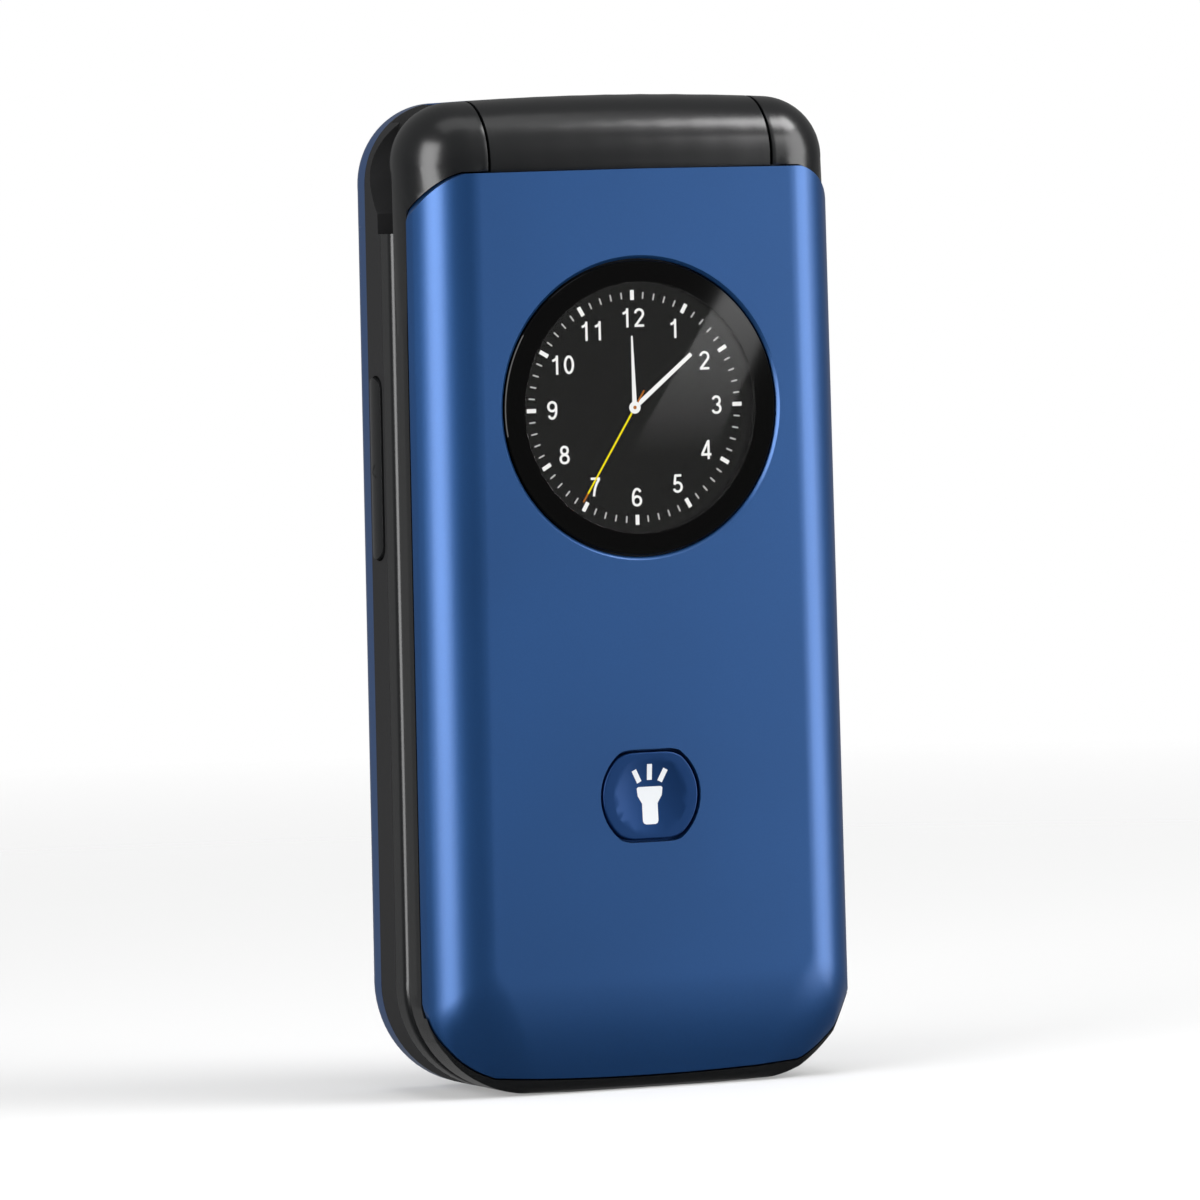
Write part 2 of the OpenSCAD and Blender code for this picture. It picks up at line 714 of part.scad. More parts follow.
module base_rear() {
    color("#303134") in_frame() difference() {
        union() {
            // side band
            slab(seam_d, band_d) difference() {
                outline();
                outline(wall);
            }
            // floor of the battery well, with its ribs
            slab(floor_d, floor_d + floor_t) outline(wall - cut);
            slab(floor_d, band_d) difference() {
                translate([0, battery_z + battery_h / 2])
                    square([battery_w + 2.2, battery_h + 2.2], center = true);
                translate([0, battery_z + battery_h / 2])
                    square([battery_w + 0.4, battery_h + 0.4], center = true);
            }
            // block under and behind the hinge
            slab(seam_d, band_d) intersection() {
                outline();
                translate([-far, shelf_z]) square([2 * far, far]);
            }
            slab(band_d - cut, band_d + 1) intersection() {
                outline(wall);
                translate([-far, split_z + 1]) square([2 * far, far]);
            }
            both() for (z = boss_z) peg(boss_x, z, boss_r, seam_d + slack, floor_d + 1.6);
            // turrets of the camera and the flash
            span(-5.3, 5.3, floor_d, band_d + 1.6, camera_z - 5.3, shelf_z + 1);
            peg(0, camera_z, 5.2, band_d, body_t - 0.2);
            peg(flash_x, camera_z, 2.3, floor_d, body_t - 0.2);
        }
        both() knuckle_room();
        lid_slot();
        axle(barrel_r + slack, -far, far);
        span(-11.5, -1.7, 0, hinge_d + coil_r + 0.5, shelf_z - 1, hinge_z);
        // camera and flash
        span(-4.4, 4.4, floor_d + floor_t, band_d + 1.1, camera_z - 4.4, camera_z + 4.4);
        peg(0, camera_z, 3.3, band_d, body_t);
        peg(0, camera_z, 4.2, body_t - 1.1, body_t);
        peg(flash_x, camera_z, 1.65, body_t - 2.6, body_t);
        // charging port, battery contacts and volume key
        level_slab(-cut, 8.2) translate([0, port_d]) soft_rect(port_w + 0.3, port_t + 0.3, 1.65);
        span(-port_w / 2 - 0.2, port_w / 2 + 0.2, floor_d - cut, port_d, wall, 8.2);
        span(-6, 6, 0, band_d + 1, battery_z + battery_h + 0.2, battery_z + battery_h + 4);
        mirror([1, 0, 0]) rotate([0, -side_taper, 0]) {
            cross_slab(half_w - 3, far) translate([volume_d, volume_z])
                soft_rect(volume_w + 0.5, volume_l + 0.5, 1.7);
            span(half_w - 4, half_w - wall, seam_d, band_d, volume_z - 12, volume_z + 12);
        }
        both() for (z = boss_z) peg(boss_x, z, screw_r + 0.1, 0, far);
    }
}

module back_cap() {
    color("#24497e") in_frame() difference() {
        eased_block(band_d, body_t, 0, back_roll);
        span(-far, far, 0, far, -cut, split_z + 0.1);
        slab(band_d - cut, cover_in_d) intersection() {
            outline(wall - 0.05);
            translate([-far, split_z + 0.95]) square([2 * far, far]);
        }
        both() knuckle_room();
        lid_slot();
    }
}

module battery_cover() {
    color("#24497e") in_frame() difference() {
        eased_block(band_d + slack, body_t, 0, back_roll);
        span(-far, far, 0, far, split_z, body_h + cut);
        slab(band_d - cut, cover_in_d) intersection() {
            outline(wall);
            translate([-far, 0]) square([2 * far, split_z - 1]);
        }
        peg(0, camera_z, 5.35, 0, far);
        peg(flash_x, camera_z, 2.45, 0, far);
        // loudspeaker slots
        for (k = [-1.5, -0.5, 0.5, 1.5]) slab(cover_in_d - cut, body_t + cut)
            translate([speaker_x, speaker_z + 2 * k]) soft_rect(9, 0.9, 0.44);
    }
}

module battery() {
    color("#3a3d42") in_frame() slab(well_d, cover_in_d - 0.3)
        translate([0, battery_z + battery_h / 2]) soft_rect(battery_w, battery_h, 1.2);
}

module battery_contacts() {
    color("#d8b64c") in_frame() for (x = [-4, 0, 4]) {
        span(x - 0.6, x + 0.6, board_d + board_t + slack, band_d, battery_z + battery_h + 1.6,
             battery_z + battery_h + 2.8);
        span(x - 0.6, x + 0.6, well_d + 1, well_d + 1.8, battery_z + battery_h + 0.1,
             battery_z + battery_h + 1.7);
    }
}

module main_board() {
    color("#1f5a3a") in_frame() slab(board_d, board_d + board_t) intersection() {
        outline(wall + 0.3);
        translate([0, 46.9]) soft_rect(2 * board_half_w, 88.8, 1.5);
    }
}

module key_domes() {
    color("#c9ccd0") in_frame() {
        for (x = [-key_pitch_x, 0, key_pitch_x], z = key_row) dome_disc(x, z);
        for (side = [-1, 1], dz = [-6, 6]) dome_disc(side * side_key_x, nav_z + dz);
        for (a = [0, 90, 180, 270]) dome_disc(8.5 * cos(a), nav_z + 8.5 * sin(a));
        dome_disc(0, nav_z);
    }
}

// A thin metal dome on the board, under a key.
module dome_disc(x, z) {
    translate([x, board_d - slack, z]) rotate([90, 0, 0])
        cylinder(r1 = dome_w, r2 = dome_w / 2, h = dome_h - slack);
}

module shield_can() {
    color("#b9bcc1") in_frame() slab(board_d - 1.2, board_d - slack)
        translate([2, 82.1]) soft_rect(34, 11, 1);
}

// A key with its retaining flange and the stem that presses the dome.
module key_cap(x, z, w, h, r) {
    in_frame() {
        slab(face_d, flange_d + cut) translate([x, z]) soft_rect(w, h, r);
        slab(flange_d, flange_d + flange_t) translate([x, z])
            soft_rect(w + 2 * flange_w, h + 2 * flange_w, r);
        peg(x, z, 1, flange_d + flange_t - cut, stem_end);
    }
}

module number_key(column, row) {
    color("#d9dadc") key_cap((column - 1) * key_pitch_x, key_row[3 - row], key_w, key_h, 1.8);
}

module key_1() { number_key(0, 0); }
module key_2() { number_key(1, 0); }
module key_3() { number_key(2, 0); }
module key_4() { number_key(0, 1); }
module key_5() { number_key(1, 1); }
module key_6() { number_key(2, 1); }
module key_7() { number_key(0, 2); }
module key_8() { number_key(1, 2); }
module key_9() { number_key(2, 2); }
module key_star() { number_key(0, 3); }
module key_0() { number_key(1, 3); }
module key_hash() { number_key(2, 3); }

module side_key(side, dz) {
    key_cap(side * side_key_x, nav_z + dz, side_key_w, side_key_h, 2.2);
}

module soft_key_left() { color("#d9dadc") side_key(-1, 6); }
module soft_key_right() { color("#d9dadc") side_key(1, 6); }
module call_key() { color("#2f9e58") side_key(-1, -6); }
module end_key() { color("#c23b3b") side_key(1, -6); }

module nav_ring() {
    color("#b9bcc1") in_frame() difference() {
        union() {
            peg(0, nav_z, nav_r, face_d, flange_d + cut, $fn = fine);
            peg(0, nav_z, nav_r + flange_w, flange_d, flange_d + flange_t, $fn = fine);
            for (a = [0, 90, 180, 270]) peg(8.5 * cos(a), nav_z + 8.5 * sin(a), 1, flange_d, stem_end);
        }
        peg(0, nav_z, nav_hole_r, 0, far);
        peg(0, nav_z, nav_hole_r + nav_step, flange_d - 0.3, far);
    }
}

module ok_key() {
    color("#d9dadc") in_frame() {
        peg(0, nav_z, ok_r, face_d, flange_d + flange_t);
        peg(0, nav_z, nav_hole_r + ok_lip, flange_d + 0.3, stem_end - slack);
        peg(0, nav_z, 1, flange_d, stem_end);
    }
}

module volume_key() {
    color("#2b2c2f") in_frame() mirror([1, 0, 0]) rotate([0, -side_taper, 0]) {
        translate([0, volume_d, volume_z]) {
            intersection() {
                cross_slab(half_w - wall - 0.4, half_w + 0.45) soft_rect(volume_w, volume_l, 1.45);
                translate([half_w + 0.45 - volume_crown, 0, -volume_l])
                    cylinder(r = volume_crown, h = 2 * volume_l);
            }
            cross_slab(half_w - wall - 0.8, half_w - wall - 0.35)
                soft_rect(volume_w + 0.8, volume_l + 1.2, 1.6);
            for (z = [-6, 6]) translate([0, 0, z])
                cross_slab(half_w - 3.2, half_w - wall - 0.6) circle(0.8);
            slab(cut - volume_w / 2, volume_w / 2 - cut) translate([rocker_u, 0]) circle(rocker_r);
        }
    }
}

module usb_port() {
    color("#b9bcc1") in_frame() {
        difference() {
            level_slab(0.4, 7.8) translate([0, port_d]) soft_rect(port_w, port_t, 1.5);
            level_slab(0.3, 7) translate([0, port_d]) soft_rect(port_w - 0.6, port_t - 0.6, 1.2);
        }
        level_slab(1.4, 7.1) translate([0, port_d]) square([port_w - 2.6, 0.7], center = true);
    }
}

module microphone() { color("#8d9094") in_frame() peg(9, 3.9, 1.1, board_d - 1.2, board_d - slack); }

module sim_holder() {
    color("#b9bcc1") in_frame() difference() {
        span(4, 20, well_d, well_d + 1.6, 69, 80);
        span(4.5, 19.5, well_d + 0.4, well_d + 1.2, 68.9, 79.5);
    }
}

module vibration_motor() { color("#a4a7ac") in_frame() peg(-13.5, 73.5, 5, well_d, well_d + 2.7); }

module loudspeaker() {
    color("#37393d") in_frame() {
        slab(band_d - 1.8, cover_in_d - 0.7) translate([speaker_x, speaker_z]) soft_rect(14, 9.6, 2);
        slab(cover_in_d - 0.75, cover_in_d - 0.2) translate([speaker_x, speaker_z]) soft_rect(12, 8, 2);
    }
}

module camera_module() {
    color("#1a1b1d") in_frame() {
        span(-4.2, 4.2, well_d, band_d + 1, camera_z - 4.2, camera_z + 4.2);
        difference() {
            peg(0, camera_z, 3.1, band_d + 0.9, body_t - 1.3);
            peg(0, camera_z, 1.5, body_t - 1.8, body_t);
        }
    }
}

module camera_window() { color("#101215") in_frame() peg(0, camera_z, 4.1, body_t - 1, body_t - 0.35); }

module flash_lens() { color("#e9ecf0") in_frame() peg(flash_x, camera_z, 1.6, body_t - 1.4, body_t - 0.3); }

module antenna() {
    color("#c9a24a") in_frame() {
        span(6.4, 18, well_d, well_d + 0.8, 3.4, 9.6);
        span(6.4, 18, well_d + 0.7, band_d, 3.4, 4.2);
    }
}

module base_screws() {
    color("#85888c") in_frame() both() for (z = boss_z) {
        peg(boss_x, z, screw_r, base_d + 1.6, floor_d + 1.7);
        difference() {
            peg(boss_x, z, 0.9, floor_d + 1.6 + slack, floor_d + 2.2);
            for (a = [0, 90]) translate([boss_x, 0, z]) rotate([0, a, 0])
                span(-0.55, 0.55, floor_d + 2, floor_d + 3, -0.12, 0.12);
        }
    }
}

lid_cover();
lid_frame();
lid_inner();
window_glass();
outer_display();
lid_board();
torch_key();
torch_switch();
main_display();
display_glass();
earpiece();
lid_magnet();
lid_screws();
bumpers();
hinge_shaft();
pivot_bush();
lid_flex();
base_front();
base_rear();
back_cap();
battery_cover();
battery();
battery_contacts();
main_board();
key_domes();
shield_can();
key_1();
key_2();
key_3();
key_4();
key_5();
key_6();
key_7();
key_8();
key_9();
key_star();
key_0();
key_hash();
soft_key_left();
soft_key_right();
call_key();
end_key();
nav_ring();
ok_key();
volume_key();
usb_port();
microphone();
sim_holder();
vibration_motor();
loudspeaker();
camera_module();
camera_window();
flash_lens();
antenna();
base_screws();
hinge_housing();
hinge_clip();
hinge_flex();
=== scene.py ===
"""Dressing of a closed flip phone: smooth shells, finishes, printed marks, studio and camera."""

from __future__ import annotations

import json
import logging
import math
from collections.abc import Callable, Iterable, Iterator, Sequence
from contextlib import contextmanager
from dataclasses import dataclass
from enum import Enum

import bpy
from mathutils import Matrix, Vector

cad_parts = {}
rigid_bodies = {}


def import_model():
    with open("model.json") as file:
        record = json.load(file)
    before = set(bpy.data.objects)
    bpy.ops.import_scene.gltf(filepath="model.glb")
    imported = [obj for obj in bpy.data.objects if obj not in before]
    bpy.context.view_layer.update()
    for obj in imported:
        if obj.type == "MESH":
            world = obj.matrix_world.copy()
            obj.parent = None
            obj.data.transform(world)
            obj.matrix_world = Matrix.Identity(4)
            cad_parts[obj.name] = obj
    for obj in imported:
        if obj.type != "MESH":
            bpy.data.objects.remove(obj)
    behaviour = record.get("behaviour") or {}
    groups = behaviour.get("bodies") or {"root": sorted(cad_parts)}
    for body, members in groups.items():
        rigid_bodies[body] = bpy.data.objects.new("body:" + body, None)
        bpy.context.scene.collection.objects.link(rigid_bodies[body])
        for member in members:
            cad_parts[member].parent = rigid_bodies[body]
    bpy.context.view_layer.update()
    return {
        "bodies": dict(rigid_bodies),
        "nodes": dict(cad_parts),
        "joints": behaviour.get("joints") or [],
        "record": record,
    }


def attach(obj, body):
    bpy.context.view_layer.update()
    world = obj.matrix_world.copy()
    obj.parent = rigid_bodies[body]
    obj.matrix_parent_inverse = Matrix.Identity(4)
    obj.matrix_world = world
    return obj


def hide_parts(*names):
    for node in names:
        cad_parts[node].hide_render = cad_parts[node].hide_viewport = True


LOG = logging.getLogger("flip_phone")
MM = 0.001

Colour = tuple[float, float, float, float]
Path = list[tuple[float, float]]


# ---------- sizes shared with the solids, in millimetres ----------

FRONT_Y = -10.3
BACK_GLASS_Y = 9.95
CAMERA_Z = 88.0
WINDOW_Z = 75.4
TORCH_Z = 32.6
KEY_FACE_Y = -1.0
NAV_Z = 63.5


class Facing(Enum):
    """Which way a flat drawing looks once it is stood up in the frame."""

    LID = "out of the lid"
    BACK = "out of the battery cover"


class Look(Enum):
    """How a piece answers light, beyond its plain colour."""

    SOLID = "solid"
    GLASS = "glass"
    LIT = "lit"


# ---------- finishes ----------

# Sockets of a Mix node, whose names are the same for numbers and for colours.
MIX_A, MIX_B = 2, 3
COLOUR_A, COLOUR_B = 6, 7

# Broad, faint clouding of a handled surface: one change in 25 mm, its middle range, and how
# much of the tone it leaves everywhere.
WIDE_TONE = 40.0
WIDE_RANGE = (0.3, 0.7)
TONE_FLOOR = 0.25


def linear(hex_colour: str) -> Colour:
    """Turns an sRGB hex colour into linear RGBA.

    Args:
        hex_colour: A colour such as "#2a5590".

    Returns:
        Linear red, green and blue, and an alpha of 1.
    """
    parts = [int(hex_colour[i : i + 2], 16) / 255 for i in (1, 3, 5)]
    red, green, blue = (
        c / 12.92 if c <= 0.04045 else ((c + 0.055) / 1.055) ** 2.4 for c in parts
    )
    return red, green, blue, 1.0


def shaded(hex_colour: str, share: float) -> Colour:
    """A linear colour made lighter or darker by a share of itself.

    Args:
        hex_colour: The sRGB colour.
        share: Positive is lighter, negative is darker.

    Returns:
        The linear RGBA colour.
    """
    red, green, blue, alpha = linear(hex_colour)
    return red * (1 + share), green * (1 + share), blue * (1 + share), alpha


def empty_tree(owner: bpy.types.Material | bpy.types.World) -> bpy.types.NodeTree:
    """Turns on the nodes of a material or world and clears them.

    Args:
        owner: The material or world.

    Returns:
        Its empty node tree.
    """
    owner.use_nodes = True
    owner.node_tree.nodes.clear()
    return owner.node_tree


def add_node(
    tree: bpy.types.NodeTree, kind: str, values: dict | None = None, **settings: object
) -> bpy.types.Node:
    """Adds a node with its settings, values and links.

    Args:
        tree: The node tree.
        kind: Blender's name of the node type.
        values: Socket name or number, to a plain value or to the socket that feeds it.
        **settings: Properties of the node itself.

    Returns:
        The new node.
    """
    made = tree.nodes.new(kind)
    for key, value in settings.items():
        setattr(made, key, value)
    for key, value in (values or {}).items():
        if isinstance(value, bpy.types.NodeSocket):
            tree.links.new(value, made.inputs[key])
        else:
            made.inputs[key].default_value = value
    return made


@dataclass(frozen=True)
class Grain:
    """A fine surface pattern, by the real size of one grain."""

    size_mm: float
    height_mm: float = 0.0
    tone: float = 0.0
    roughness: float = 0.0
    stretch: tuple[float, float, float] = (1.0, 1.0, 1.0)
    detail: float = 2.0


@dataclass(frozen=True)
class Finish:
    """One real material as a shader's values."""

    name: str
    colour: str
    roughness: float
    metallic: float = 0.0
    ior: float = 1.5
    specular: float = 0.5
    coat: float = 0.0
    coat_roughness: float = 0.1
    look: Look = Look.SOLID
    grain: Grain | None = None

    def build(self) -> bpy.types.Material:
        """Makes the material, unless it is already there.

        Returns:
            The material.
        """
        found = bpy.data.materials.get(self.name)
        if found is not None:
            return found
        material = bpy.data.materials.new(self.name)
        material.diffuse_color = linear(self.colour)
        tree = empty_tree(material)
        values: dict = {
            "Base Color": linear(self.colour),
            "Roughness": self.roughness,
            "Metallic": self.metallic,
            "IOR": self.ior,
            "Specular IOR Level": self.specular,
            "Coat Weight": self.coat,
            "Coat Roughness": self.coat_roughness,
        }
        if self.look is Look.GLASS:
            values["Transmission Weight"] = 1.0
        if self.look is Look.LIT:
            values["Base Color"] = (0.0, 0.0, 0.0, 1.0)
            values["Specular IOR Level"] = 0.0
            values["Emission Color"] = linear(self.colour)
            values["Emission Strength"] = 1.0
        if self.grain is not None:
            values |= self._grained(tree, self.grain)
        shader = add_node(tree, "ShaderNodeBsdfPrincipled", values)
        add_node(tree, "ShaderNodeOutputMaterial", {"Surface": shader.outputs["BSDF"]})
        return material

    def _grained(self, tree: bpy.types.NodeTree, grain: Grain) -> dict:
        """Adds the grain's nodes.

        Args:
            tree: The material's tree.
            grain: The pattern.

        Returns:
            The shader's sockets that the grain feeds.
        """
        place = add_node(tree, "ShaderNodeTexCoord")
        stretched = add_node(tree, "ShaderNodeMapping", {
            "Vector": place.outputs["Object"],
            "Scale": grain.stretch,
        })
        noise = add_node(tree, "ShaderNodeTexNoise", {
            "Vector": stretched.outputs["Vector"],
            "Scale": 1 / (grain.size_mm * MM),
            "Detail": grain.detail,
        })
        wide = add_node(tree, "ShaderNodeTexNoise", {
            "Vector": place.outputs["Object"],
            "Scale": WIDE_TONE,
            "Detail": 1.0,
        })
        fed: dict = {}
        if grain.tone:
            both = add_node(tree, "ShaderNodeMath", {
                0: noise.outputs["Fac"],
                1: wide.outputs["Fac"],
                2: TONE_FLOOR,
            }, operation="MULTIPLY_ADD")
            tone = add_node(tree, "ShaderNodeMix", {
                "Factor": both.outputs[0],
                COLOUR_A: shaded(self.colour, -grain.tone),
                COLOUR_B: shaded(self.colour, grain.tone),
            }, data_type="RGBA")
            fed["Base Color"] = tone.outputs[2]
        if grain.roughness:
            spread = add_node(tree, "ShaderNodeMapRange", {
                "Value": wide.outputs["Fac"],
                "From Min": WIDE_RANGE[0],
                "From Max": WIDE_RANGE[1],
                "To Min": self.roughness - grain.roughness,
                "To Max": self.roughness + grain.roughness,
            })
            fed["Roughness"] = spread.outputs[0]
        if grain.height_mm:
            bump = add_node(tree, "ShaderNodeBump", {
                "Height": noise.outputs["Fac"],
                "Distance": grain.height_mm * MM,
                "Strength": 1.0,
            })
            fed["Normal"] = bump.outputs["Normal"]
        return fed


# Anodised aluminium, bead blasted. The blast gives a very fine sparkle and the dye a deep,
# metallic blue. The grit is about 0.05 mm, drawn at 0.22 mm so that it shows at all.
ANODISED_BLUE = Finish(
    "anodised_aluminium_blue", "#205a9c", roughness=0.41, metallic=0.75, coat=1.0,
    coat_roughness=0.32, grain=Grain(0.22, height_mm=0.002, tone=0.12, roughness=0.02),
)
# The same metal on the torch key, a shade darker and rougher to the finger.
ANODISED_KEY = Finish(
    "anodised_aluminium_key", "#17437c", roughness=0.47, metallic=0.8, coat=0.3,
    coat_roughness=0.3, grain=Grain(0.22, height_mm=0.0012, tone=0.06, roughness=0.015),
)
# Polycarbonate, satin painted: black with a soft sheen and a trace of orange peel.
SATIN_BLACK = Finish(
    "painted_polycarbonate_black", "#18191a", roughness=0.25, ior=1.65,
    grain=Grain(0.4, height_mm=0.001, tone=0.05, roughness=0.02),
)
# The same plastic left as moulded. Its spark-eroded texture breaks reflections up, so it looks
# dry and even. The texture is about 0.2 mm, drawn at 0.28 mm so that it shows.
MATTE_BLACK = Finish(
    "textured_polycarbonate_black", "#2a2a2b", roughness=0.6, specular=0.35,
    grain=Grain(0.28, height_mm=0.006, tone=0.22, roughness=0.03, detail=3.0),
)
# Strengthened glass with an anti-reflection coating: it mirrors as little as a weaker index.
CLEAR_GLASS = Finish("coated_glass_clear", "#ffffff", roughness=0.01, ior=1.25, look=Look.GLASS)
# Ceramic ink baked on glass: a dense, slightly glossy black.
BLACK_INK = Finish("ceramic_ink_black", "#0d0d0d", roughness=0.12, specular=0.2)
# The polished rim of the window, as deep black as the glass that it carries.
BEZEL_BLACK = Finish("polished_polymer_black", "#080808", roughness=0.03, specular=0.3)
# The lens of the camera, with the violet gleam of its coating.
LENS_VIOLET = Finish(
    "coated_lens_violet", "#0d0a1c", roughness=0.03, coat=1.0, coat_roughness=0.02
)
# Glass over a switched-off screen: black, with sharp and weak reflections.
DARK_GLASS = Finish("coated_glass_dark", "#060708", roughness=0.04, specular=0.35)
# A switched-off liquid-crystal screen: a bluish black, a little softer than its glass.
SCREEN_OFF = Finish("liquid_crystal_off", "#0b0d11", roughness=0.08, specular=0.35)
# A lit liquid-crystal picture: it gives out its own even light.
DIAL_DARK = Finish("picture_dial_dark", "#111110", roughness=0.5, look=Look.LIT)
PICTURE_WHITE = Finish("picture_white", "#f4f4f2", roughness=0.5, look=Look.LIT)
PICTURE_GREY = Finish("picture_grey", "#c4c4c2", roughness=0.5, look=Look.LIT)
PICTURE_YELLOW = Finish("picture_yellow", "#f2e000", roughness=0.5, look=Look.LIT)
PICTURE_ORANGE = Finish("picture_orange", "#b0661a", roughness=0.5, look=Look.LIT)
# Screen-printed ink: dense and slightly matt, with the faint unevenness of its screen.
WHITE_INK = Finish("screen_ink_white", "#eef1f4", roughness=0.5, grain=Grain(0.3, tone=0.03))
DARK_INK = Finish("screen_ink_dark", "#2a2d31", roughness=0.5, grain=Grain(0.3, tone=0.05))
# Solder resist over etched copper: a half-glossy green with an uneven tone.
BOARD_GREEN = Finish(
    "solder_resist_green", "#1f5a3a", roughness=0.4, coat=0.3,
    grain=Grain(0.8, height_mm=0.01, tone=0.25),
)
# Brushed stainless steel: fine level lines that break a reflection up from top to bottom.
STEEL = Finish(
    "stainless_steel_brushed", "#b9bcc1", roughness=0.3, metallic=1.0,
    grain=Grain(0.12, 0.002, 0.05, 0.04, stretch=(1.0, 1.0, 14.0)),
)
# Die-cast zinc: a dull grey metal with a soft, slightly pitted gleam.
ZINC = Finish(
    "zinc_die_cast", "#9b9ea3", roughness=0.45, metallic=1.0,
    grain=Grain(0.35, 0.006, 0.1, 0.05),
)
# Brass under a gold plating: a warm and clean gleam.
BRASS = Finish(
    "brass_gold_plated", "#d1a94a", roughness=0.26, metallic=1.0,
    grain=Grain(0.2, 0.001, 0.06, 0.04),
)
# Polyimide film: a glossy amber with long, faint streaks.
FILM = Finish(
    "polyimide_film_amber", "#b8731c", roughness=0.28, coat=0.4,
    grain=Grain(0.6, 0.001, 0.1, 0.03, stretch=(1.0, 8.0, 1.0)),
)
# ABS in silver paint under a thin clear coat: a pale grey with a soft metallic sheen.
KEY_SILVER = Finish(
    "painted_abs_silver", "#cfd1d4", roughness=0.32, metallic=0.35, coat=0.25,
    grain=Grain(0.25, 0.001, 0.04, 0.02),
)
# The same keys in plain green and red paint: a clear colour with a soft gloss.
KEY_GREEN = Finish(
    "painted_abs_green", "#2f9e58", roughness=0.35, coat=0.2, grain=Grain(0.25, 0.001, 0.05, 0.02)
)
KEY_RED = Finish(
    "painted_abs_red", "#c23b3b", roughness=0.35, coat=0.2, grain=Grain(0.25, 0.001, 0.05, 0.02)
)
# Silicone rubber: a dull black with hardly any reflection.
RUBBER = Finish(
    "silicone_rubber_black", "#1c1c1d", roughness=0.75, grain=Grain(0.3, 0.004, 0.08, 0.04)
)
# Nylon as moulded: a dry dark grey with a faint mottle.
MOULDED_GREY = Finish(
    "moulded_nylon_dark", "#35373b", roughness=0.55, grain=Grain(0.35, 0.005, 0.1, 0.04)
)
# Moulded acrylic with a light frost, which blurs what lies behind it.
CLEAR_LENS = Finish("acrylic_lens", "#f1f3f6", roughness=0.12, ior=1.49, look=Look.GLASS)

SLOT_FINISH: dict[str, Finish] = {
    "blue_metal": ANODISED_BLUE,
    "black_satin": SATIN_BLACK,
    "black_matte": MATTE_BLACK,
    "dark_glass": DARK_GLASS,
    "display": MOULDED_GREY,
    "circuit_board": BOARD_GREEN,
    "steel": STEEL,
    "zinc": ZINC,
    "brass": BRASS,
    "film": FILM,
    "keys_light": KEY_SILVER,
    "keys_green": KEY_GREEN,
    "keys_red": KEY_RED,
    "rubber_dark": RUBBER,
    "component": MOULDED_GREY,
    "clear_lens": CLEAR_LENS,
}


# ---------- working by hand ----------

# Points of a drawing closer than this are one point.
WELD_MM = 0.0005
# How often a drawing's faces are split before it is laid on a curved face.
SPLIT_ROUNDS = 3

STOOD_UP = {
    Facing.LID: Matrix(((1, 0, 0, 0), (0, 0, -1, 0), (0, 1, 0, 0), (0, 0, 0, 1))),
    Facing.BACK: Matrix(((-1, 0, 0, 0), (0, 0, 1, 0), (0, 1, 0, 0), (0, 0, 0, 1))),
}


def pick(*objects: bpy.types.Object) -> None:
    """Selects these objects alone and makes the first one active.

    Args:
        *objects: The objects.
    """
    bpy.ops.object.select_all(action="DESELECT")
    for item in objects:
        item.select_set(True)
    bpy.context.view_layer.objects.active = objects[0]


@contextmanager
def editing(piece: bpy.types.Object) -> Iterator[None]:
    """Opens a piece in edit mode with all of it selected, and closes it again.

    Args:
        piece: The piece to edit.
    """
    pick(piece)
    bpy.ops.object.mode_set(mode="EDIT")
    bpy.ops.mesh.select_all(action="SELECT")
    yield
    bpy.ops.object.mode_set(mode="OBJECT")


def start_from(
    name: str, primitive: Callable[..., object], **sizes: object
) -> bpy.types.Object:
    """Adds a primitive with nothing else selected, as the start of a piece.

    Args:
        name: The piece's name.
        primitive: The operator that adds the primitive.
        **sizes: The operator's settings.

    Returns:
        The new piece.
    """
    bpy.ops.object.select_all(action="DESELECT")
    primitive(**sizes)
    piece = bpy.context.active_object
    piece.name = name
    return piece


def settle(piece: bpy.types.Object) -> None:
    """Puts a piece's place, turn and scale into its mesh."""
    pick(piece)
    bpy.ops.object.transform_apply(location=True, rotation=True, scale=True)


def modify(piece: bpy.types.Object, kind: str, **settings: object) -> None:
    """Adds a modifier with its settings and applies it.

    Args:
        piece: The piece to change.
        kind: Blender's name of the modifier type.
        **settings: The modifier's properties.
    """
    pick(piece)
    modifier = piece.modifiers.new(kind.lower(), kind)
    for key, value in settings.items():
        setattr(modifier, key, value)
    bpy.ops.object.modifier_apply(modifier=modifier.name)


def tidy_normals(piece: bpy.types.Object) -> None:
    """Merges double points and turns every face outwards.

    Args:
        piece: The piece to change.
    """
    with editing(piece):
        bpy.ops.mesh.remove_doubles(threshold=WELD_MM * MM)
        bpy.ops.mesh.normals_make_consistent(inside=False)


def smooth(piece: bpy.types.Object, degrees: float) -> None:
    """Shades a piece smooth up to an edge angle."""
    pick(piece)
    bpy.ops.object.shade_smooth_by_angle(angle=math.radians(degrees))


def soften(piece: bpy.types.Object, degrees: float) -> None:
    """Shades a piece smooth up to an edge angle, and keeps its large faces flat."""
    smooth(piece, degrees)
    modify(piece, "WEIGHTED_NORMAL", keep_sharp=True, weight=100)


def split(piece: bpy.types.Object) -> None:
    """Splits a drawing's faces, so that it can follow a curved face.

    Args:
        piece: The flat drawing.
    """
    for _ in range(SPLIT_ROUNDS):
        with editing(piece):
            bpy.ops.mesh.quads_convert_to_tris()
            bpy.ops.mesh.subdivide()


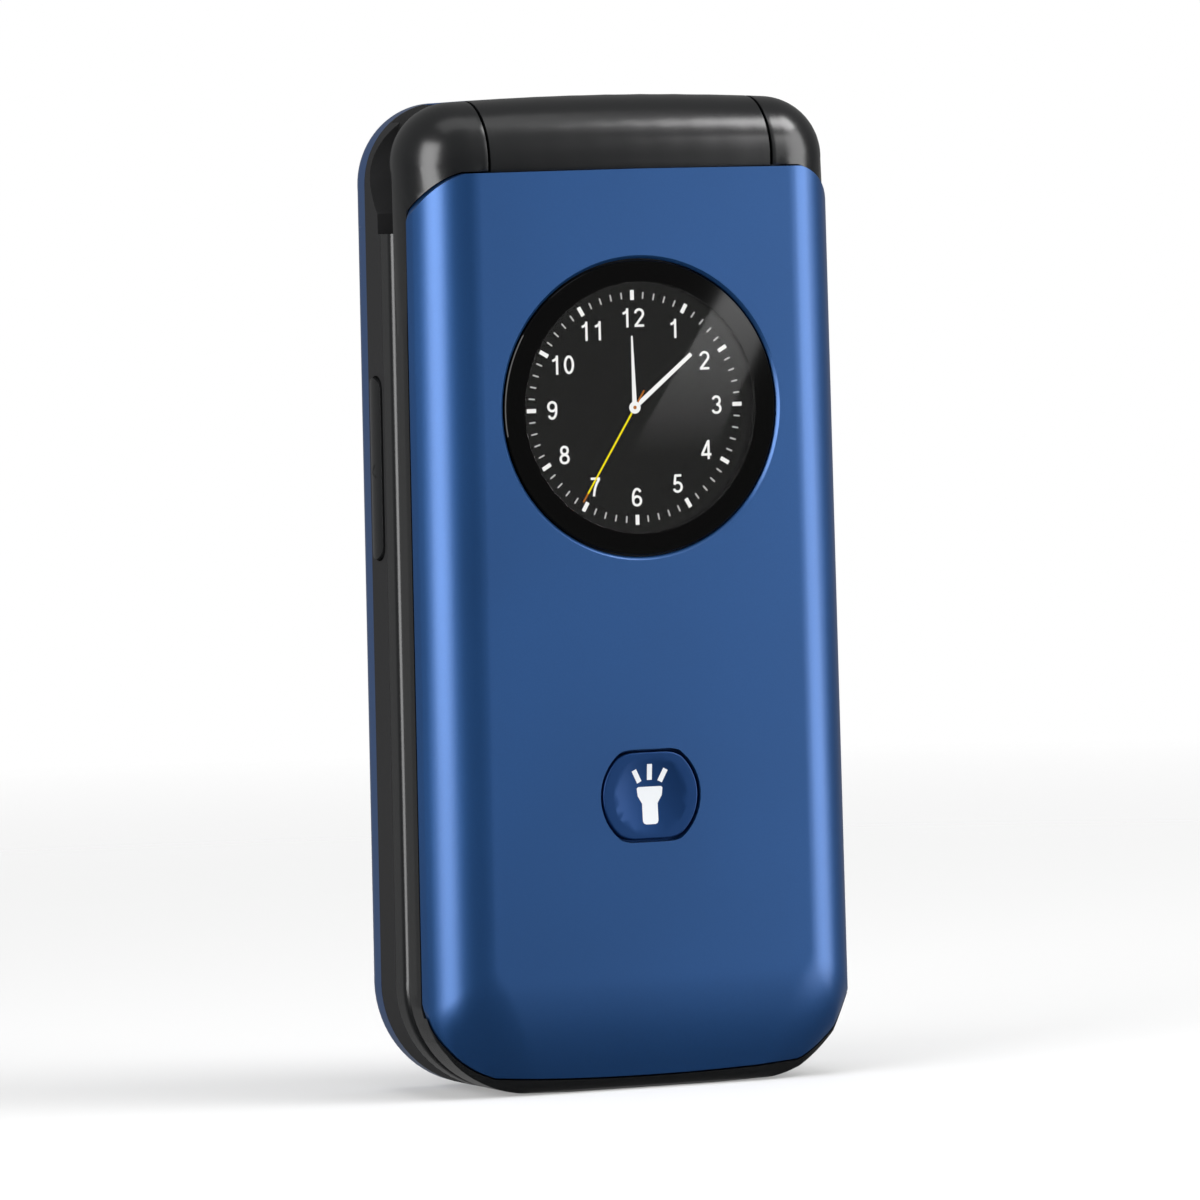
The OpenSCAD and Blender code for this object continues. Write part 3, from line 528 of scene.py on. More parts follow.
def thicken(piece: bpy.types.Object, depth_mm: float) -> None:
    """Pulls a flat drawing's faces out along +Z.

    Args:
        piece: The flat drawing.
        depth_mm: How far they are pulled.
    """
    with editing(piece):
        bpy.ops.mesh.extrude_region_move(
            TRANSFORM_OT_translate={"value": (0, 0, depth_mm * MM)}
        )
        bpy.ops.mesh.select_all(action="SELECT")
        bpy.ops.mesh.normals_make_consistent(inside=False)


def paint(piece: bpy.types.Object, finish: Finish) -> None:
    """Gives the whole piece one finish.

    Args:
        piece: The piece to paint.
        finish: Its finish.
    """
    material = finish.build()
    if not piece.data.materials:
        piece.data.materials.append(material)
    for index in range(len(piece.data.materials)):
        piece.data.materials[index] = material


def join(name: str, pieces: Sequence[bpy.types.Object]) -> bpy.types.Object:
    """Joins pieces into the first one and names the result.

    Args:
        name: The name of the result.
        pieces: The pieces to join.

    Returns:
        The joined piece.
    """
    pick(*pieces)
    bpy.ops.object.join()
    piece = bpy.context.active_object
    piece.name = name
    piece.data.name = name
    return piece


def turned_copy(piece: bpy.types.Object, degrees: float) -> bpy.types.Object:
    """Copies a flat drawing with a mesh of its own, and turns the copy about the middle.

    Args:
        piece: The drawing to copy.
        degrees: How far the copy is turned, clockwise.

    Returns:
        The copy, with its turn in its mesh.
    """
    copy = piece.copy()
    copy.data = piece.data.copy()
    bpy.context.scene.collection.objects.link(copy)
    copy.rotation_euler.z = -math.radians(degrees)
    settle(copy)
    return copy


def stand_up(
    piece: bpy.types.Object, facing: Facing, y_mm: float, z_mm: float, x_mm: float = 0.0
) -> None:
    """Stands a flat drawing up in the frame.

    Args:
        piece: A drawing on the ground plane that looks up.
        facing: The side that it then looks out of.
        y_mm: Where its own ground plane goes.
        z_mm: Height of its centre.
        x_mm: Place of its centre across the phone.
    """
    moved = Matrix.Translation((x_mm * MM, y_mm * MM, z_mm * MM))
    piece.matrix_world = moved @ STOOD_UP[facing] @ piece.matrix_world
    settle(piece)


def hand_in(piece: bpy.types.Object, body: str) -> None:
    """Lets a finished piece ride on its body, and logs it.

    Args:
        piece: The finished piece.
        body: The body that it rides on.
    """
    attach(piece, body)
    LOG.info("piece %s rides on %s", piece.name, body)


# ---------- flat drawings ----------


@dataclass(frozen=True)
class Stroke:
    """One pen stroke of a figure that is one unit high: the middle line of its band."""

    path: Path
    closed: bool = False


def flat_shape(name: str, outline: Sequence[Iterable[float]]) -> bpy.types.Object:
    """A flat face from an outline, shaped out of a disc.

    Args:
        name: The piece's name.
        outline: Corners in millimetres, in order.

    Returns:
        The new piece, lying on the ground plane and looking up.
    """
    circle = bpy.ops.mesh.primitive_circle_add
    piece = start_from(name, circle, vertices=len(outline), radius=MM, fill_type="NGON")
    for vertex, (x, y) in zip(piece.data.vertices, outline, strict=True):
        vertex.co = (x * MM, y * MM, 0.0)
    tidy_normals(piece)
    return piece


def turned_shape(name: str, profile: Path, steps: int = 160) -> bpy.types.Object:
    """A closed profile spun once about the Z axis.

    Args:
        name: The piece's name.
        profile: Radius and height of each corner, in millimetres.
        steps: How many steps the turn has.

    Returns:
        The ring, lying on the ground plane.
    """
    circle = bpy.ops.mesh.primitive_circle_add
    piece = start_from(name, circle, vertices=len(profile), radius=MM, fill_type="NOTHING")
    for vertex, (radius, height) in zip(piece.data.vertices, profile, strict=True):
        vertex.co = (radius * MM, 0, height * MM)
    with editing(piece):
        bpy.ops.mesh.spin(steps=steps, angle=2 * math.pi, center=(0, 0, 0), axis=(0, 0, 1))
    tidy_normals(piece)
    return piece


def arc(
    x: float, y: float, rx: float, ry: float, start: float, end: float, steps: int = 20
) -> Path:
    """Points on an ellipse.

    Args:
        x: Its centre across.
        y: Its centre upwards.
        rx: Its radius across.
        ry: Its radius upwards.
        start: The first angle in degrees, from the right and anticlockwise.
        end: The last angle.
        steps: How many steps lie between them.

    Returns:
        The points.
    """
    turns = (math.radians(start + (end - start) * k / steps) for k in range(steps + 1))
    return [(x + rx * math.cos(a), y + ry * math.sin(a)) for a in turns]


def loop_points(radius: float, corners: int) -> Path:
    """Points round a full circle."""
    return arc(0, 0, radius, radius, 0, 360, corners)[:-1]


def loop(x: float, y: float, rx: float, ry: float) -> Stroke:
    """A closed, oval stroke."""
    return Stroke(arc(x, y, rx, ry, 0, 360, 32)[:-1], closed=True)


def turned_over(strokes: Sequence[Stroke]) -> list[Stroke]:
    """The same strokes turned by half a turn about the middle of the figure."""
    return [Stroke([(-x, 1 - y) for x, y in s.path], s.closed) for s in strokes]


SIX = [
    loop(0.005, 0.305, 0.222, 0.232),
    Stroke([*arc(0.015, 0.52, 0.235, 0.405, 38, 183), (-0.217, 0.32)]),
]
FIGURES: dict[str, list[Stroke]] = {
    "0": [loop(0, 0.5, 0.225, 0.425)],
    "1": [Stroke([(0.08, 0), (0.08, 1)]), Stroke([(0.08, 0.9), (0, 0.8), (-0.18, 0.72)])],
    "2": [
        Stroke([*arc(0, 0.7, 0.225, 0.225, 172, -35), (-0.2, 0.1)]),
        Stroke([(-0.27, 0.075), (0.27, 0.075)]),
    ],
    "3": [
        Stroke(arc(-0.01, 0.715, 0.2, 0.21, 162, -88)),
        Stroke(arc(-0.005, 0.295, 0.23, 0.22, 88, -162)),
    ],
    "4": [
        Stroke([(0.09, 0.95), (-0.26, 0.27)]),
        Stroke([(-0.31, 0.25), (0.27, 0.25)]),
        Stroke([(0.11, 0), (0.11, 1)]),
    ],
    "5": [
        Stroke([(-0.15, 0.925), (0.22, 0.925)]),
        Stroke([(-0.115, 0.95), (-0.175, 0.45)]),
        Stroke(arc(0, 0.315, 0.232, 0.24, 142, -158)),
    ],
    "6": SIX,
    "7": [
        Stroke([(-0.26, 0.925), (0.26, 0.925)]),
        Stroke([(0.22, 0.9), (0.08, 0.69), (-0.02, 0.45), (-0.075, 0.22), (-0.1, 0)]),
    ],
    "8": [loop(0, 0.73, 0.185, 0.195), loop(0, 0.29, 0.225, 0.215)],
    "9": turned_over(SIX),
    "*": [Stroke(arc(0, 0.5, 0.42, 0.42, a, a + 180, 2)[::2]) for a in (90, 30, 150)],
    "#": [
        Stroke([(-0.16, 0.04), (-0.08, 0.96)]),
        Stroke([(0.08, 0.04), (0.16, 0.96)]),
        Stroke([(-0.3, 0.33), (0.27, 0.33)]),
        Stroke([(-0.27, 0.67), (0.3, 0.67)]),
    ],
}
# Width of a stroke and step from one figure to the next, as shares of the height.
PEN = 0.128
ADVANCE = 0.76
# How far a bend's outer corner may reach, and the sharpest bend that is worked out.
MITRE_LIMIT = 1.3
SHARPEST = 0.1


def band(name: str, stroke: Stroke, width: float) -> bpy.types.Object:
    """A flat grid bent along a stroke.

    Args:
        name: The piece's name.
        stroke: Its middle line, in millimetres.
        width: Its width in millimetres.

    Returns:
        The flat band, lying on the ground plane and looking up.
    """
    points = [Vector(p) for p in stroke.path]
    count = len(points)
    spans = count if stroke.closed else count - 1
    grid = bpy.ops.mesh.primitive_grid_add
    piece = start_from(name, grid, x_subdivisions=spans, y_subdivisions=1, size=2)
    for vertex in piece.data.vertices:
        column = round((vertex.co.x + 1) / 2 * spans)
        here = points[column % count]
        before = points[(column - 1) % count] if stroke.closed or column else here
        last = not stroke.closed and column == count - 1
        after = here if last else points[(column + 1) % count]
        into, out = (here - before).normalized(), (after - here).normalized()
        along = (into + out).normalized()
        bend = max(along.dot(out if out.length else into), SHARPEST)
        stretch = min(1 / bend, MITRE_LIMIT)
        aside = Vector((-along.y, along.x)) * width / 2 * stretch
        place = here + aside * math.copysign(1, vertex.co.y)
        vertex.co = (place.x * MM, place.y * MM, 0)
    tidy_normals(piece)
    return piece


def lettering(
    name: str, words: str, height_mm: float, centre: tuple[float, float]
) -> bpy.types.Object:
    """A number or sign, drawn stroke by stroke.

    Args:
        name: The piece's name.
        words: The characters.
        height_mm: The height of a figure.
        centre: Where its middle lies on the drawing, in millimetres.

    Returns:
        The flat mesh, lying on the ground plane and looking up.
    """
    bands = []
    for index, figure in enumerate(words):
        shift = (index - (len(words) - 1) / 2) * ADVANCE
        for stroke in FIGURES[figure]:
            path = [
                (centre[0] + (x + shift) * height_mm, centre[1] + (y - 0.5) * height_mm)
                for x, y in stroke.path
            ]
            bands.append(band(name, Stroke(path, stroke.closed), PEN * height_mm))
    return join(name, bands)


# ---------- shells ----------

# Points closer than this are one point, and faces within this angle are one flat face.
MERGE_MM = 0.0008
FLAT_DEGREES = 0.3
# How far the edges of the keys under the lid are eased.
KEY_EDGE_MM = 0.35


@dataclass
class Shell:
    """A visible housing or key: its solid's surface, merged, eased at its edges and smoothed.

    Where lowered is set, points at its first height are brought to its second.
    """

    node: str
    body: str
    slot: str
    finish: Finish
    edge_mm: float = 0.12
    crease: float = 32.0
    lowered: tuple[float, float] | None = None

    def build(self, frame: dict) -> None:
        """Builds the shell and lets it stand for its solid.
        """
        source = frame["nodes"][self.node]
        piece = bpy.data.objects.new(self.node + "_shell", source.data.copy())
        bpy.context.scene.collection.objects.link(piece)
        piece.data.name = piece.name
        pick(piece)
        bpy.ops.mesh.customdata_custom_splitnormals_clear()
        with editing(piece):
            bpy.ops.mesh.remove_doubles(threshold=MERGE_MM * MM)
            bpy.ops.mesh.dissolve_limited(angle_limit=math.radians(FLAT_DEGREES))
        if self.lowered is not None:
            seam, rest = (height * MM for height in self.lowered)
            for vertex in piece.data.vertices:
                if abs(vertex.co.z - seam) < MERGE_MM * MM:
                    vertex.co.z = rest
        modify(
            piece,
            "BEVEL",
            width=self.edge_mm * MM,
            segments=3,
            limit_method="ANGLE",
            angle_limit=math.radians(self.crease),
            use_clamp_overlap=True,
            miter_outer="MITER_ARC",
        )
        soften(piece, self.crease)
        self.dress(piece)

    def dress(self, piece: bpy.types.Object) -> None:
        """Paints the shell and hands it in.

        Args:
            piece: The finished shell.
        """
        paint(piece, self.finish)
        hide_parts(self.node)
        hand_in(piece, self.body)


def shells() -> list[Shell]:
    """The housings and keys that get a smooth surface.

    Returns:
        One shell for each such solid.
    """
    made = [
        Shell("lid_cover", "lid", "blue_metal", ANODISED_BLUE, 0.28),
        Shell("lid_frame", "lid", "black_satin", SATIN_BLACK, 0.1),
        Shell("lid_inner", "lid", "black_satin", SATIN_BLACK, 0.15),
        Shell("bumpers", "lid", "rubber_dark", RUBBER, 0.2),
        Shell("torch_key", "torch", "blue_metal", ANODISED_KEY, 0.25),
        Shell("base_front", "phone", "black_satin", SATIN_BLACK, 0.18),
        Shell("base_rear", "phone", "black_matte", MATTE_BLACK, 0.1),
        Shell("back_cap", "phone", "blue_metal", ANODISED_BLUE, 0.1, lowered=(96.1, 96.01)),
        Shell("battery_cover", "cover", "blue_metal", ANODISED_BLUE, 0.1),
        Shell("volume_key", "volume", "black_satin", SATIN_BLACK, 0.3),
        Shell("camera_window", "phone", "dark_glass", DARK_GLASS, 0.1),
        Shell("nav_ring", "nav_ring_travel", "steel", STEEL, 0.3),
        Shell("ok_key", "ok_key_travel", "keys_light", KEY_SILVER, 0.3),
    ]
    keys = [f"key_{k}" for k in (*range(10), "star", "hash")]
    keys += ["soft_key_left", "soft_key_right"]
    rows = [(name, "keys_light", KEY_SILVER) for name in keys]
    rows += [("call_key", "keys_green", KEY_GREEN), ("end_key", "keys_red", KEY_RED)]
    for name, slot, finish in rows:
        made.append(Shell(name, name + "_travel", slot, finish, KEY_EDGE_MM))
    return made


# ---------- the clock ----------


@dataclass
class Clock:
    """The round outer window: its bezel, glass and the lit picture of a clock.

    A mark has its outer end, length and width. A hand has its reach, its widths at the hub and
    at the tip, and its angle from twelve. The thin hand's widths go from the hub outwards.
    """

    ring_in: float = 13.9
    ring_out: float = 16.25
    ring_top: float = 1.86
    ring_back: float = 0.91
    wall_out: float = 14.5
    glass_t: float = 0.5
    edge: float = 0.1
    crease: float = 35.0
    dial_y: float = -8.34
    dial_r: float = 14.55
    hour_mark: tuple[float, float, float] = (12.95, 1.1, 0.45)
    minute_mark: tuple[float, float, float] = (12.75, 0.72, 0.15)
    figure_r: float = 9.9
    figure_h: float = 2.1
    long_hand: tuple[float, float, float, float] = (7.9, 0.56, 0.2, -1.1)
    broad_hand: tuple[float, float, float, float] = (9.0, 0.52, 0.44, 50.7)
    second_turn: float = 212.3
    second_widths: tuple[float, float, float] = (0.2, 0.18, 0.16)
    second_reach: float = 11.0
    second_tip: float = 12.1
    second_tail: float = -2.2
    hub_r: float = 0.68
    hub_centre_r: float = 0.2
    body: str = "lid"
    layer: float = 0.02

    def build(self) -> None:
        """Builds every piece of the clock."""
        self.dial()
        self.marks()
        self.figures()
        self.hands()
        self.bezel()
        self.glass()

    def dial(self) -> None:
        """The dark picture behind the clock's marks."""
        self._place(self._disc("clock_dial", self.dial_r, 120), DIAL_DARK, 0)

    def marks(self) -> None:
        """Sixty marks, of which twelve are long and bold."""
        minutes = [k for k in range(60) if k % 5]
        for name, finish, mark, places in (
            ("clock_hour_ticks", PICTURE_WHITE, self.hour_mark, range(0, 60, 5)),
            ("clock_minute_ticks", PICTURE_GREY, self.minute_mark, minutes),
        ):
            end, length, width = mark
            first = self._bar(end - length, end, width, width, 6 * places[0])
            copies = [turned_copy(first, 6 * (k - places[0])) for k in places[1:]]
            self._place(join(name, [first, *copies]), finish, 1)

    def figures(self) -> None:
        """The numbers 1 to 12, upright."""
        drawn = []
        for hour in range(1, 13):
            turn = math.radians(30 * hour)
            centre = (self.figure_r * math.sin(turn), self.figure_r * math.cos(turn))
            drawn.append(lettering("figure", str(hour), self.figure_h, centre))
        self._place(join("clock_figures", drawn), PICTURE_WHITE, 1)

    def hands(self) -> None:
        """Two white hands, a thin yellow one with orange ends, and the hub."""
        white = [self._bar(0, *hand) for hand in (self.long_hand, self.broad_hand)]
        self._place(join("clock_hands", white), PICTURE_WHITE, 2)
        broad, middle, thin = self.second_widths
        blade = self._bar(0, self.second_reach, broad, middle, self.second_turn)
        blade.name = "clock_second_hand"
        self._place(blade, PICTURE_YELLOW, 3)
        ends = [
            self._bar(self.second_reach, self.second_tip, middle, thin, self.second_turn),
            self._bar(self.second_tail, 0, thin, broad, self.second_turn),
        ]
        self._place(join("clock_second_ends", ends), PICTURE_ORANGE, 3)
        self._place(self._disc("clock_hub", self.hub_r), PICTURE_WHITE, 4)
        self._place(self._disc("clock_hub_centre", self.hub_centre_r), PICTURE_ORANGE, 5)

    def bezel(self) -> None:
        """The black rim, level with the glass, and its wall down to the picture."""
        ring = turned_shape(
            "window_bezel",
            [
                (self.ring_in, self.layer),
                (self.wall_out, self.layer),
                (self.wall_out, self.ring_back),
                (self.ring_out, self.ring_back),
                (self.ring_out, self.ring_top - self.edge),
                (self.ring_out - self.edge, self.ring_top),
                (self.ring_in, self.ring_top),
            ],
        )
        soften(ring, self.crease)
        stand_up(ring, Facing.LID, self.dial_y, WINDOW_Z)
        paint(ring, BEZEL_BLACK)
        hand_in(ring, self.body)

    def glass(self) -> None:
        """The clear disc in the bezel, which stands for the window's solid."""
        disc = self._disc("window_clear_glass", self.ring_in - self.layer, 160)
        thicken(disc, self.glass_t)
        stand_up(disc, Facing.LID, self.dial_y - self.ring_top + self.glass_t, WINDOW_Z)
        tidy_normals(disc)
        paint(disc, CLEAR_GLASS)
        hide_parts("window_glass")
        hand_in(disc, self.body)

    def _disc(self, name: str, radius: float, corners: int = 40) -> bpy.types.Object:
        """A flat disc about the centre."""
        return flat_shape(name, loop_points(radius, corners))

    def _bar(
        self, start: float, end: float, base: float, tip: float, degrees: float
    ) -> bpy.types.Object:
        """A straight mark on a ray from the centre.

        Args:
            start: Where it starts on the ray, in millimetres.
            end: Where it ends.
            base: Its width at the start.
            tip: Its width at the end.
            degrees: The ray's angle, clockwise from twelve.

        Returns:
            The flat mark.
        """
        turn = math.radians(degrees)
        along = Vector((math.sin(turn), math.cos(turn)))
        across = Vector((along.y, -along.x))
        corners = [
            along * start + across * base / 2,
            along * start - across * base / 2,
            along * end - across * tip / 2,
            along * end + across * tip / 2,
        ]
        return flat_shape("mark", corners)

    def _place(self, piece: bpy.types.Object, finish: Finish, layers: float) -> None:
        """Thickens a drawing, stands it in the window and dresses it.

        Args:
            piece: The flat drawing about the window's centre.
            finish: Its finish.
            layers: How many layers it lies above the dial.
        """
        thicken(piece, self.layer)
        stand_up(piece, Facing.LID, self.dial_y - layers * self.layer, WINDOW_Z)
        tidy_normals(piece)
        paint(piece, finish)
        hand_in(piece, self.body)


# ---------- the marks on the torch key and the volume key ----------


@dataclass
class TorchMark:
    """A printed torch with three rays, laid on the key's hollow face."""

    hollow_r: float = 30.0
    hollow_y: float = FRONT_Y - 29.6
    head_w: float = 3.1
    head_h: float = 1.0
    head_taper: float = 0.1
    neck_h: float = 0.86
    body_w: float = 1.87
    top_z: float = 0.97
    bottom_z: float = -3.19
    corner: float = 0.16
    heel: float = 0.38
    heel_bulge: float = 0.3
    ray_w: float = 0.59
    upright_ray: tuple[float, float] = (1.71, 3.47)
    side_ray_foot: tuple[float, float] = (1.22, 1.5)
    side_ray: float = 1.52
    ray_turn: float = 27.0
    lift: float = 0.012

    def build(self) -> None:
        """Builds the mark and lays it on the key."""
        mark = join("torch_mark", [self._torch()] + [self._ray(side) for side in (-1, 0, 1)])
        split(mark)
        stand_up(mark, Facing.LID, FRONT_Y, TORCH_Z)
        self._lay(mark)
        modify(mark, "SOLIDIFY", thickness=self.lift * MM, offset=0)
        paint(mark, WHITE_INK)
        hand_in(mark, "torch")

    def _torch(self) -> bpy.types.Object:
        """The torch itself: a broad head, a slanted neck and a plain body.

        Returns:
            The flat drawing.
        """
        half, body = self.head_w / 2, self.body_w / 2
        foot = self.top_z - self.head_h - self.neck_h
        bulge = self.heel * self.heel_bulge
        right = [
            (half - self.corner, self.top_z),
            (half, self.top_z - self.corner),
            (half - self.head_taper, self.top_z - self.head_h),
            (body, foot),
            (body, self.bottom_z + self.heel),
            (body - bulge, self.bottom_z + bulge),
            (body - self.heel, self.bottom_z),
        ]
        return flat_shape("torch", right + [(-x, y) for x, y in right[::-1]])

    def _ray(self, side: int) -> bpy.types.Object:
        """One ray above the head.

        Args:
            side: -1 or 1 tilts it outwards to that side, and 0 is the upright one.

        Returns:
            The flat drawing.
        """
        turn = math.radians(self.ray_turn * side)
        along = Vector((math.sin(turn), math.cos(turn)))
        across = Vector((along.y, -along.x)) * self.ray_w / 2
        start = Vector((0, self.upright_ray[0]))
        length = self.upright_ray[1] - self.upright_ray[0]
        if side:
            start = Vector((side * self.side_ray_foot[0], self.side_ray_foot[1]))
            length = self.side_ray
        end = start + along * length
        return flat_shape("ray", [start - across, end - across, end + across, start + across])

    def _lay(self, mark: bpy.types.Object) -> None:
        """Moves each point back on to the key's hollow face, a hair above it.

        Args:
            mark: The drawing, stood up in front of the key.
        """
        for vertex in mark.data.vertices:
            x, z = vertex.co.x / MM, vertex.co.z / MM - TORCH_Z
            sag = math.sqrt(self.hollow_r**2 - x * x - z * z)
            vertex.co.y = (self.hollow_y + sag - self.lift) * MM


@dataclass
class ArrowMark:
    """A small dark arrow that points to the back, laid on the volume key's round face."""

    key_y: float = 4.15
    key_z: float = 69.2
    upper: tuple[float, float] = (-0.05, 0.54)
    tip: tuple[float, float] = (0.85, -0.3)
    lower: tuple[float, float] = (-0.45, -0.9)
    stroke: float = 0.4
    outside_x: float = -40.0
    lift: float = 0.01

    def build(self) -> None:
        """Builds the mark and lays it on the key."""
        line = [self.upper, self.tip, self.lower]
        mark = flat_shape("arrow_mark", line + [(y - self.stroke, z) for y, z in line[::-1]])
        split(mark)
        self._lay(mark)
        modify(mark, "SOLIDIFY", thickness=self.lift * MM, offset=0)
        tidy_normals(mark)
        paint(mark, BLACK_INK)
        hand_in(mark, "volume")

    def _lay(self, mark: bpy.types.Object) -> None:
        """Moves each point out to the key's face, a hair above it.

        Args:
            mark: The drawing, still lying on the ground plane.
        """
        bpy.context.view_layer.update()
        key = bpy.data.objects["volume_key_shell"]
        for vertex in mark.data.vertices:
            y, z = self.key_y * MM + vertex.co.x, self.key_z * MM + vertex.co.y
            _, hit, _, _ = key.ray_cast((self.outside_x * MM, y, z), (1, 0, 0))
            vertex.co = (hit.x - self.lift * MM, y, z)


# ---------- the camera ----------


@dataclass
class CameraEye:
    """The lens and its bright ring, on the camera's dark window."""

    lens_r: float = 1.75
    lens_rise: float = 0.22
    ring_r: float = 2.5
    ring_t: float = 0.06
    steps: int = 64

    def build(self) -> None:
        """Builds the ring and the lens."""
        profile = [
            (self.lens_r, 0),
            (self.ring_r, 0),
            (self.ring_r - self.ring_t, self.ring_t),
            (self.lens_r + self.ring_t, self.ring_t),
        ]
        ring = turned_shape("camera_ring", profile, self.steps)
        dome = arc(0, 0, self.lens_r, self.lens_rise, 0, 90, 8)[:-1]
        lens = turned_shape("camera_lens", [*dome, (0, self.lens_rise), (0, 0)], self.steps)
        for piece, finish, crease in ((ring, STEEL, 20), (lens, LENS_VIOLET, 40)):
            smooth(piece, crease)
            stand_up(piece, Facing.BACK, BACK_GLASS_Y, CAMERA_Z)
            paint(piece, finish)
            hand_in(piece, "phone")


# ---------- keypad ----------


class Sign(Enum):
    """The plain marks on the control keys."""

    CALL = "call"
    END = "end"
    DASH = "dash"


@dataclass
class Keypad:
    """Printed figures on the number keys and plain marks on the control keys.

    The dash has its half width and half height. Each edge of the handset has its radius and how
    far its centre lies below the middle. An ear has its width, its depth and its lean. An arrow
    head has the radius of its tip and of its foot, and half its width.
    """

    pitch_x: float = 14.4
    pitch_z: float = 10.4
    first_z: float = 10.4
    figure_h: float = 4.4
    star_share: float = 0.5
    side_x: float = 18.0
    side_dz: float = 6.0
    print_t: float = 0.02
    dash: tuple[float, float] = (1.8, 0.3)
    handset_outer: tuple[float, float] = (2.6, 1.9)
    handset_inner: tuple[float, float] = (1.7, 1.7)
    handset_spread: float = 62.0
    handset_steps: int = 12
    ear: tuple[float, float, float] = (1.1, 1.2, 0.15)
    call_turn: float = 135.0
    arrow_head: tuple[float, float, float] = (9.4, 8.4, 0.8)

    def build(self) -> None:
        """Prints every key."""
        names = {"*": "key_star", "#": "key_hash"}
        for line, row in enumerate(("123", "456", "789", "*0#")):
            for column, figure in enumerate(row):
                node = names.get(figure, "key_" + figure)
                height = self.figure_h * (self.star_share if figure == "*" else 1.0)
                drawn = lettering(node + "_print", figure, height, (0, 0))
                x = (column - 1) * self.pitch_x
                self._print(drawn, node, x, self.first_z + (3 - line) * self.pitch_z, DARK_INK)
        for node, sign, side, above in (
            ("soft_key_left", Sign.DASH, -1, 1),
            ("soft_key_right", Sign.DASH, 1, 1),
            ("call_key", Sign.CALL, -1, -1),
            ("end_key", Sign.END, 1, -1),
        ):
            ink = DARK_INK if sign is Sign.DASH else WHITE_INK
            drawn = self._sign(node + "_print", sign)
            self._print(drawn, node, side * self.side_x, NAV_Z + above * self.side_dz, ink)
        self._ring_marks()

    def _print(
        self, drawn: bpy.types.Object, node: str, x: float, z: float, ink: Finish
    ) -> None:
        """Lays a drawing on a key's face.

        Args:
            drawn: The flat drawing.
            node: The key that carries it.
            x: The key's place across the phone, in millimetres.
            z: The key's height.
            ink: The ink's finish.
        """
        thicken(drawn, self.print_t)
        stand_up(drawn, Facing.LID, KEY_FACE_Y, z, x)
        tidy_normals(drawn)
        paint(drawn, ink)
        hand_in(drawn, node + "_travel")

    def _sign(self, name: str, sign: Sign) -> bpy.types.Object:
        """A dash, or a handset that lies down or stands on its arc.

        Args:
            name: The piece's name.
            sign: Which mark.

        Returns:
            The flat drawing.
        """
        if sign is Sign.DASH:
            x, y = self.dash
            return flat_shape(name, [(-x, -y), (x, -y), (x, y), (-x, y)])
        low, high = 90 - self.handset_spread, 90 + self.handset_spread
        outer, inner = (
            arc(0, -drop, radius, radius, low, high, self.handset_steps)
            for radius, drop in (self.handset_outer, self.handset_inner)
        )
        width, depth, lean = self.ear
        (right, right_y), (left, left_y) = outer[0], outer[-1]
        outline = [
            *outer,
            (left - lean, left_y - depth),
            (left + width, left_y - depth),
            *inner[::-1],
            (right - width, right_y - depth),
            (right + lean, right_y - depth),
        ]
        piece = flat_shape(name, outline)
        if sign is Sign.CALL:
            piece.rotation_euler.z = math.radians(self.call_turn)
            settle(piece)
        return piece

    def _ring_marks(self) -> None:
        """Four small arrow heads on the navigation ring."""
        tip, foot, half = self.arrow_head
        first = flat_shape("head", [(tip, 0), (foot, half), (foot, -half)])
        copies = [turned_copy(first, -turn) for turn in (90, 180, 270)]
        self._print(join("nav_ring_print", [first, *copies]), "nav_ring", 0, NAV_Z, DARK_INK)


# ---------- main screen ----------


@dataclass
class MainScreen:
    """The glass over the main display and the dark, switched-off picture in it."""

    glass: tuple[float, float, float] = (44.0, 62.0, 0.75)
    glass_corner: float = 2.0
    picture: tuple[float, float, float] = (37.4, 49.6, 0.02)
    picture_corner: float = 0.5
    centre_z: float = 52.0
    front_y: float = -1.5
    edge: float = 0.12
    edge_degrees: float = 40.0
    crease: float = 35.0

    def build(self) -> None:
        """Builds the glass, which stands for its solid, and the picture on it."""
        glass = self._plate("main_glass", self.glass, self.glass_corner, -self.glass[2])
        modify(
            glass,
            "BEVEL",
            width=self.edge * MM,
            segments=2,
            limit_method="ANGLE",
            angle_limit=math.radians(self.edge_degrees),
        )
        soften(glass, self.crease)
        paint(glass, BLACK_INK)
        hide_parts("display_glass")
        hand_in(glass, "lid")
        picture = self._plate("main_picture", self.picture, self.picture_corner, 0)
        paint(picture, SCREEN_OFF)
        hand_in(picture, "lid")

    def _plate(
        self, name: str, size: tuple[float, float, float], corner: float, rise: float
    ) -> bpy.types.Object:
        """A plate with round corners that looks at the keypad.

        Args:
            name: The piece's name.
            size: Its width, height and thickness.
            corner: The radius of its corners.
            rise: How far its back lies in front of the glass's face.

        Returns:
            The plate, stood up in its place.
        """
        plate = start_from(name, bpy.ops.mesh.primitive_cube_add, size=1)
        plate.dimensions = [side * MM for side in size]
        plate.location.z = (rise + size[2] / 2) * MM
        settle(plate)
        for edge in plate.data.edges:
            first, last = (plate.data.vertices[i].co for i in edge.vertices)
            edge.select = abs((last - first).z) > 0.5 * size[2] * MM
        for face in plate.data.polygons:
            face.select = False
        bpy.ops.object.mode_set(mode="EDIT")
        bpy.ops.mesh.select_mode(type="EDGE")
        bpy.ops.mesh.bevel(offset=corner * MM, segments=6)
        bpy.ops.mesh.select_mode(type="VERT")
        bpy.ops.object.mode_set(mode="OBJECT")
        stand_up(plate, Facing.BACK, self.front_y, self.centre_z)
        tidy_normals(plate)
        return plate


# ---------- studio ----------


